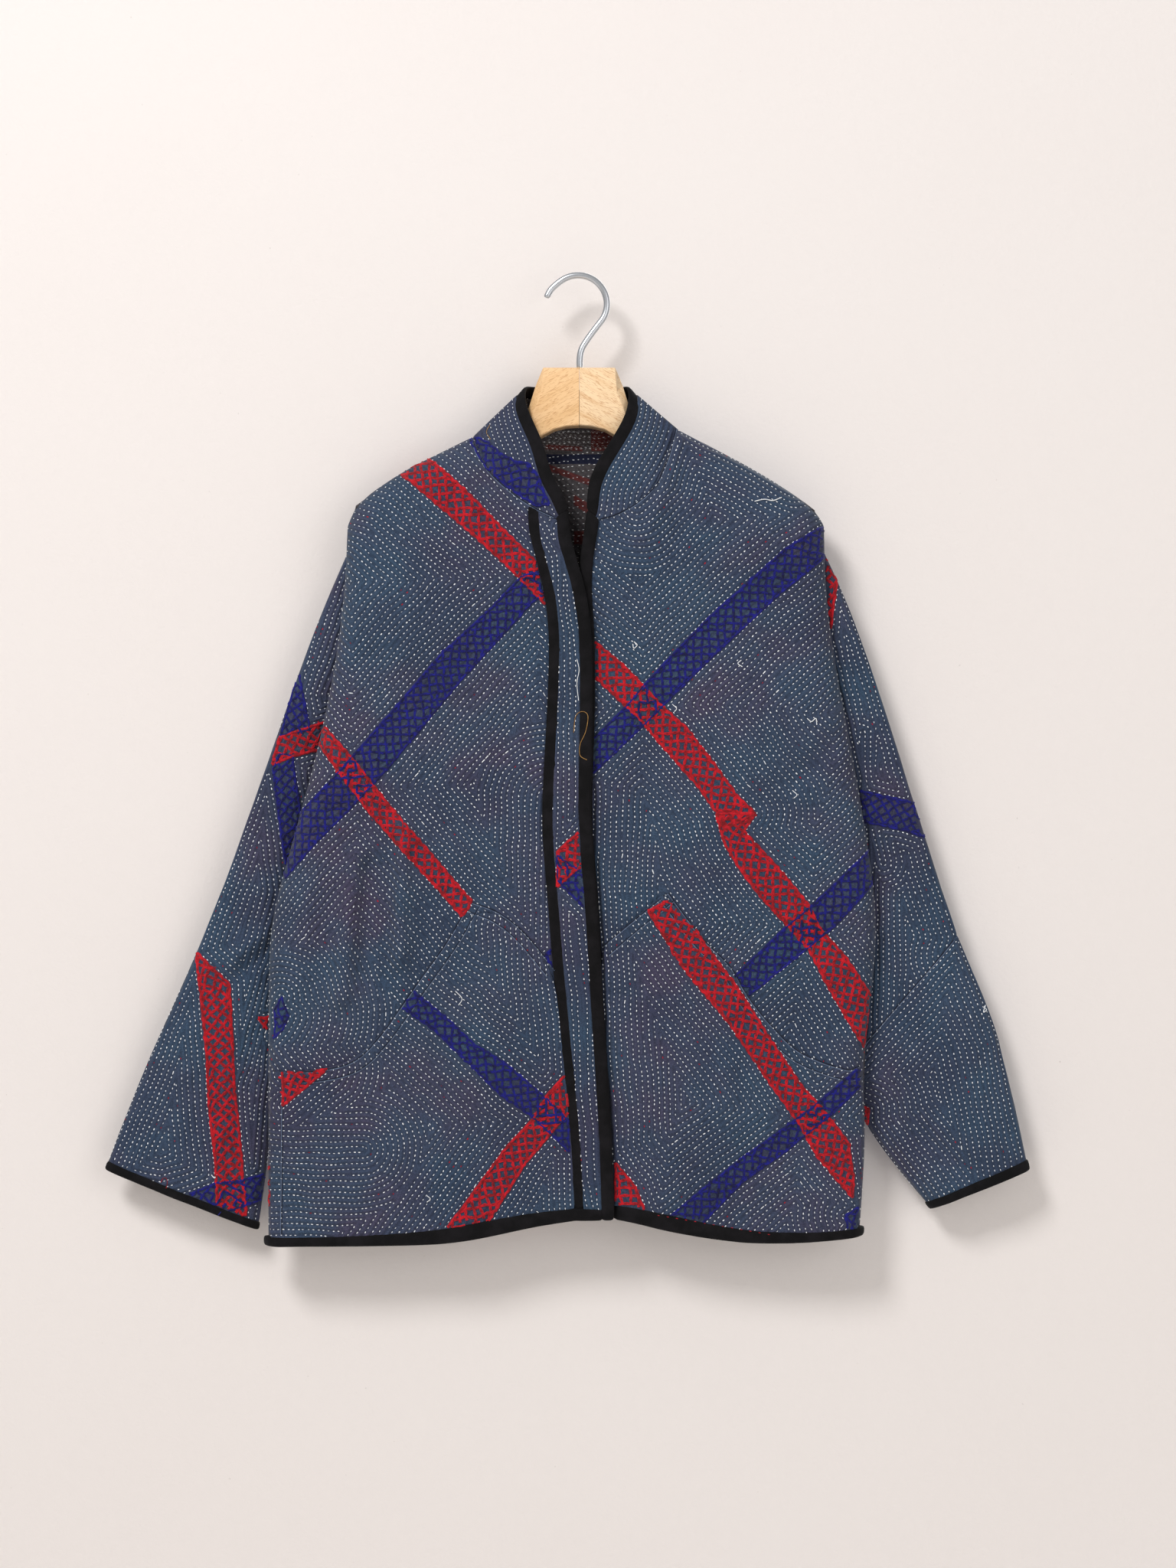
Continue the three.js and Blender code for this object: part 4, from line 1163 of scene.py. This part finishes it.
def reach(place, across, line):
    """How far along across a line crosses, from this place."""
    line = array(line)
    best = None
    for a, b in zip(line[:-1], line[1:]):
        matrix = np.stack([across, a - b], axis=1)
        if abs(np.linalg.det(matrix)) < 1e-6:
            continue
        far, share = np.linalg.solve(matrix, a - place)
        if -0.001 <= share <= 1.001 and (best is None or abs(far) < abs(best)):
            best = far
    return best


def stations(one, other):
    """Places down a band's middle, each with its way across and its half width."""
    count = 40
    middle = (resample(one, count) + resample(other, count)) / 2
    first, last = middle[0] * 9 - middle[1] * 8, middle[-1] * 9 - middle[-2] * 8
    middle = np.concatenate([[first], middle[1:-1], [last]])
    columns = max(2, round(length_of(middle) / LATTICE))
    middle = resample(middle, columns)
    ways = np.gradient(middle, axis=0)
    ways /= np.linalg.norm(ways, axis=1, keepdims=True)
    past_one, past_other = run_past(one, True, True), run_past(other, True, True)
    result = []
    for place, way in zip(middle, ways):
        across = array([-way[1], way[0]])
        near, far = reach(place, across, past_one), reach(place, across, past_other)
        if near is None or far is None:
            near, far = -result[-1][2] if result else -10, result[-1][2] if result else 10
        result.append((place + across * (near + far) / 2, across, abs(near - far) / 2))
    return result


def embroider(band, name, skin, facing, cords):
    """Chain stitches of one band, as far as it lies on one piece: its lattice, edges and ends."""
    colour, one, other, *_ = band
    outline = list(one) + list(other)[::-1]
    down = stations(one, other)
    most = int(max(width for _, _, width in down) / LATTICE) + 1
    jitter = rng.normal(0, KNOT_SPREAD, (len(down), 2 * most + 3, 2))
    strand = STRAND * THREAD[colour]
    edge_width = EDGE_THREAD * THREAD[colour]

    def knot(i, j):
        place, across, width = down[i]
        return place + across * np.clip(j * LATTICE, -width, width) + jitter[i, j + most + 1]

    def lay(path, thick, tall, lift=0.0):
        for run in run_on(path, skin, facing, name):
            cords[colour].lay(run, thick, tall, lift)

    for i in range(len(down) - 1):
        for j in range(-most, most + 1):
            if (i + j) % 2 or abs(j) * LATTICE > down[i][2] + LATTICE * 0.6:
                continue
            for turn in (-1, 1):
                a, b = knot(i, j), knot(i + 1, j + turn)
                crossed = colour == "blue" and under_red((a + b) / 2, name)
                if np.hypot(*(b - a)) < 1.5 or (crossed and rng.random() < PASSED_OVER):
                    continue
                if not inside(((a + b) / 2)[None], outline)[0]:
                    continue
                side = array([a[1] - b[1], b[0] - a[0]]) / np.hypot(*(b - a))
                bow = (a + b) / 2 + rng.normal(0, 0.4, 2)
                for shift in (-0.5, 0.5):
                    push = side * shift * (THREAD[colour] - strand)
                    ends = side * shift * 0.3
                    lay([a + ends, bow + push, b + ends], strand, 0.75, 0.7 * crossed + rng.uniform(0, 0.25))
    for edge in (one, other):
        line = resample(edge, max(3, round(length_of(edge) / 2.4)))
        scallop = 0.35 * np.sin(np.arange(len(line)) * 1.7)
        lay(line + scallop[:, None] + rng.normal(0, 0.22, line.shape), edge_width, 0.9, 0.15)
    for a, b in ((one[0], other[0]), (one[-1], other[-1])):
        if math.dist(a, b) > 6:
            lay(resample([a, b], 6) + rng.normal(0, 0.3, (7, 2)), edge_width, 0.85, 0.15)


cords = {colour: Cords() for colour in THREADS}
for name in [*FRONTS, *SLEEVES]:
    for band in BANDS.get(name, []):
        embroider(band, name, front_skin, -1, cords)
embroider(COLLAR_BAND, "collar", front_skin, -1, cords)
embroider(COLLAR_BAND, "front_right", front_skin, -1, cords)
for band in BANDS["back"]:
    embroider(band, "back", back_skin, 1, cords)


def eased(line, count=12):
    """A round line through these points, with this many parts from each to the next."""
    line = array(line)
    ahead = np.concatenate([[2 * line[0] - line[1]], line, [2 * line[-1] - line[-2]]])
    share = np.linspace(0, 1, count, endpoint=False)[:, None]
    parts = []
    for a, b, c, d in zip(ahead, ahead[1:], ahead[2:], ahead[3:]):
        parts.append(0.5 * (2 * b + (c - a) * share + (2 * a - 5 * b + 4 * c - d) * share ** 2
                            + (3 * b - a - 3 * c + d) * share ** 3))
    return np.concatenate([*parts, line[-1:]])


def beside(line, offset):
    """The line moved this far to its left."""
    way = np.gradient(line, axis=0)
    way /= np.linalg.norm(way, axis=1, keepdims=True)
    return line + offset * np.stack([-way[:, 1], way[:, 0]], axis=1)


HIGHLIGHT_OFFSET, HIGHLIGHT_WIDTH = 1.1, 0.9  # mm, the pale cord to the right of each groove: a painted highlight on the seam's raised edge
# Each seam gets a dark cord, a painted shadow line in its groove, and beside it a pale cord, a painted
# highlight on its raised edge.
for line, rows in SEAMS:
    for offset, width in rows:
        for run in run_on(beside(eased(line), offset), front_skin, -1):
            cords["shade"].lay(run, width, 0.35, 0.05)
        for run in run_on(beside(eased(line), offset - HIGHLIGHT_OFFSET), front_skin, -1):
            cords["edge"].lay(run, HIGHLIGHT_WIDTH, 0.4, 0.05)
for colour, width, line in LOOSE:
    for run in run_on(eased(line, 6), front_skin, -1):
        cords[colour].lay(run, width, 0.7 * width, 0.5)
CORD_PIECES = {
    "red": "red_embroidery",
    "blue": "blue_embroidery",
    "white": "white_tails",
    "gold": "golden_tails",
    "shade": "seam_lines",
    "edge": "seam_edges",
}
for colour, name in CORD_PIECES.items():
    with_pieces["front_right"].append(cords[colour].build(name, colour))

# ---------------------------------------------------------------- hanger

# mm added to the radius of the hook's bar. Subdividing takes only 0.16 off it, so the bar is drawn 5.9
# across where the CAD's is 5.1.
HOOK_REGROWTH = 0.55
BEVEL = 0.004  # m


def hanger_part(name, material, slot, levels):
    """The hook, which is subdivided, or one half of the wood, which isn't."""
    mesh = softened(name, levels, 0.0 if levels else 1.0)
    if levels:
        set_coordinates(mesh, coordinates(mesh) + HOOK_REGROWTH * MM * vertex_normals(mesh))
    return stand_in(name, "smooth", mesh, material, slot)


def chamfer_sides(half):
    """Bevels the wood: full width down its sides, little elsewhere and least at the glued joint."""
    mesh = half.data
    weights = mesh.attributes.new("bevel_weight_edge", "FLOAT", "EDGE")
    for edge in mesh.edges:
        a, b = (mesh.vertices[i].co for i in edge.vertices)
        way = b - a
        glued = max(abs(a.x), abs(b.x)) < 0.001
        down_side = abs(way.z) > 1.1 * abs(way.x) and abs(way.z) > abs(way.y)
        weights.data[edge.index].value = 0.03 if glued else 1.0 if down_side else 0.3
    bevel = half.modifiers.new("edges", "BEVEL")
    bevel.width = BEVEL
    bevel.segments = 2
    bevel.limit_method = "WEIGHT"
    bevel.harden_normals = True


hanger_part("hanger_hook", metal(), "aluminium", 2)
BEECH = {  # how the grain leans, in radians, and its pale and dark tones
    "hanger_wood_right": (0.5, rgb(247, 206, 156), rgb(238, 194, 140)),
    "hanger_wood_left": (-0.5, rgb(250, 218, 176), rgb(240, 203, 156)),
}
for name, (lean, pale, dark) in BEECH.items():
    half = hanger_part(name, wood(f"beech {name[12:]}", lean, pale, dark), "beech", 0)
    chamfer_sides(half)

# ---------------------------------------------------------------- wall, light, camera

def plane(name, corners, material):
    mesh = bpy.data.meshes.new(name)
    mesh.from_pydata(corners, [], [(0, 1, 2, 3)])
    mesh.materials.append(material)
    obj = bpy.data.objects.new(name, mesh)
    bpy.context.scene.collection.objects.link(obj)
    return obj


def plaster():
    """Plaster that is clear from behind, where it would hide the garment's back."""
    material, n = shader("wall", 0.9, specular=0.1)
    place = n.place()
    speck = n.ramp(n.noise(place, 260.0, 2.0, 0.5), 0.77, 0.8)
    tone = n.mix(n.noise(place, 1.2, 3.0), rgb(240, 234, 231), rgb(235, 227, 223))
    n.colour(n.mix(n.math("MULTIPLY", speck, 0.35), tone, rgb(170, 160, 152)))
    n.relief(n.bump(n.noise(place, 300.0, 3.0, 0.6), 0.0006, 0.5))
    facing = n.node("ShaderNodeNewGeometry").outputs["Backfacing"]
    clear = n.node("ShaderNodeBsdfTransparent")
    choose = n.node("ShaderNodeMixShader")
    n.feed(choose.inputs["Fac"], facing)
    n.feed(choose.inputs[1], n.surface.outputs["BSDF"])
    n.feed(choose.inputs[2], clear.outputs["BSDF"])
    n.feed(n.tree.nodes["Material Output"].inputs["Surface"], choose.outputs["Shader"])
    return material


low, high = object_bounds()
WALL_GAP = 0.003  # m
wall_y = high.y + WALL_GAP
FLOOR_Z, CEILING_Z, REACH = -1.4, 3, 4
wall = plane("wall", [(-REACH, wall_y, FLOOR_Z), (REACH, wall_y, FLOOR_Z), (REACH, wall_y, CEILING_Z),
                      (-REACH, wall_y, CEILING_Z)], plaster())
wall.visible_shadow = False
wall.visible_diffuse = False
wall.visible_glossy = False
floor_material, floor_nodes = shader("floor", 0.8)
floor_nodes.surface.inputs["Base Color"].default_value = rgb(236, 231, 226)
plane("floor", [(-REACH, -REACH, FLOOR_Z), (REACH, -REACH, FLOOR_Z), (REACH, REACH, FLOOR_Z),
                (-REACH, REACH, FLOOR_Z)], floor_material)


def area_light(name, place, target, size, power):
    light = bpy.data.lights.new(name, "AREA")
    light.shape = "DISK"
    light.size = size
    light.energy = power
    obj = bpy.data.objects.new(name, light)
    obj.location = place
    obj.rotation_euler = (Vector(target) - Vector(place)).to_track_quat("-Z", "Y").to_euler()
    bpy.context.scene.collection.objects.link(obj)


middle = (0, 0, -0.47)
area_light("key", (-1.7, -2.7, 2.2), middle, 1.2, 102)
area_light("fill", (2.2, -3.0, 0.0), middle, 2.6, 22)
area_light("behind", (0.6, 2.2, 0.6), middle, 2.0, 26)

world = bpy.data.worlds.new("studio")
bpy.context.scene.world = world
world.use_nodes = True
world.node_tree.nodes["Background"].inputs["Color"].default_value = (1.0, 0.99, 0.98, 1)
world.node_tree.nodes["Background"].inputs["Strength"].default_value = 0.42

bpy.context.scene.view_settings.view_transform = "Standard"

camera_data = bpy.data.cameras.new("camera")
camera_data.lens = 75.3
camera = bpy.data.objects.new("camera", camera_data)
camera.location = (0.0091, -3.02, -0.466)
camera.rotation_euler = (radians(90), 0, 0)
bpy.context.scene.collection.objects.link(camera)
bpy.context.scene.camera = camera

# ---------------------------------------------------------------- cloth as sheets

for name, (width, length, share) in CUTS.items():
    bindings = [pieces[tape] for tape in BOUND_BY.get(name, [])]
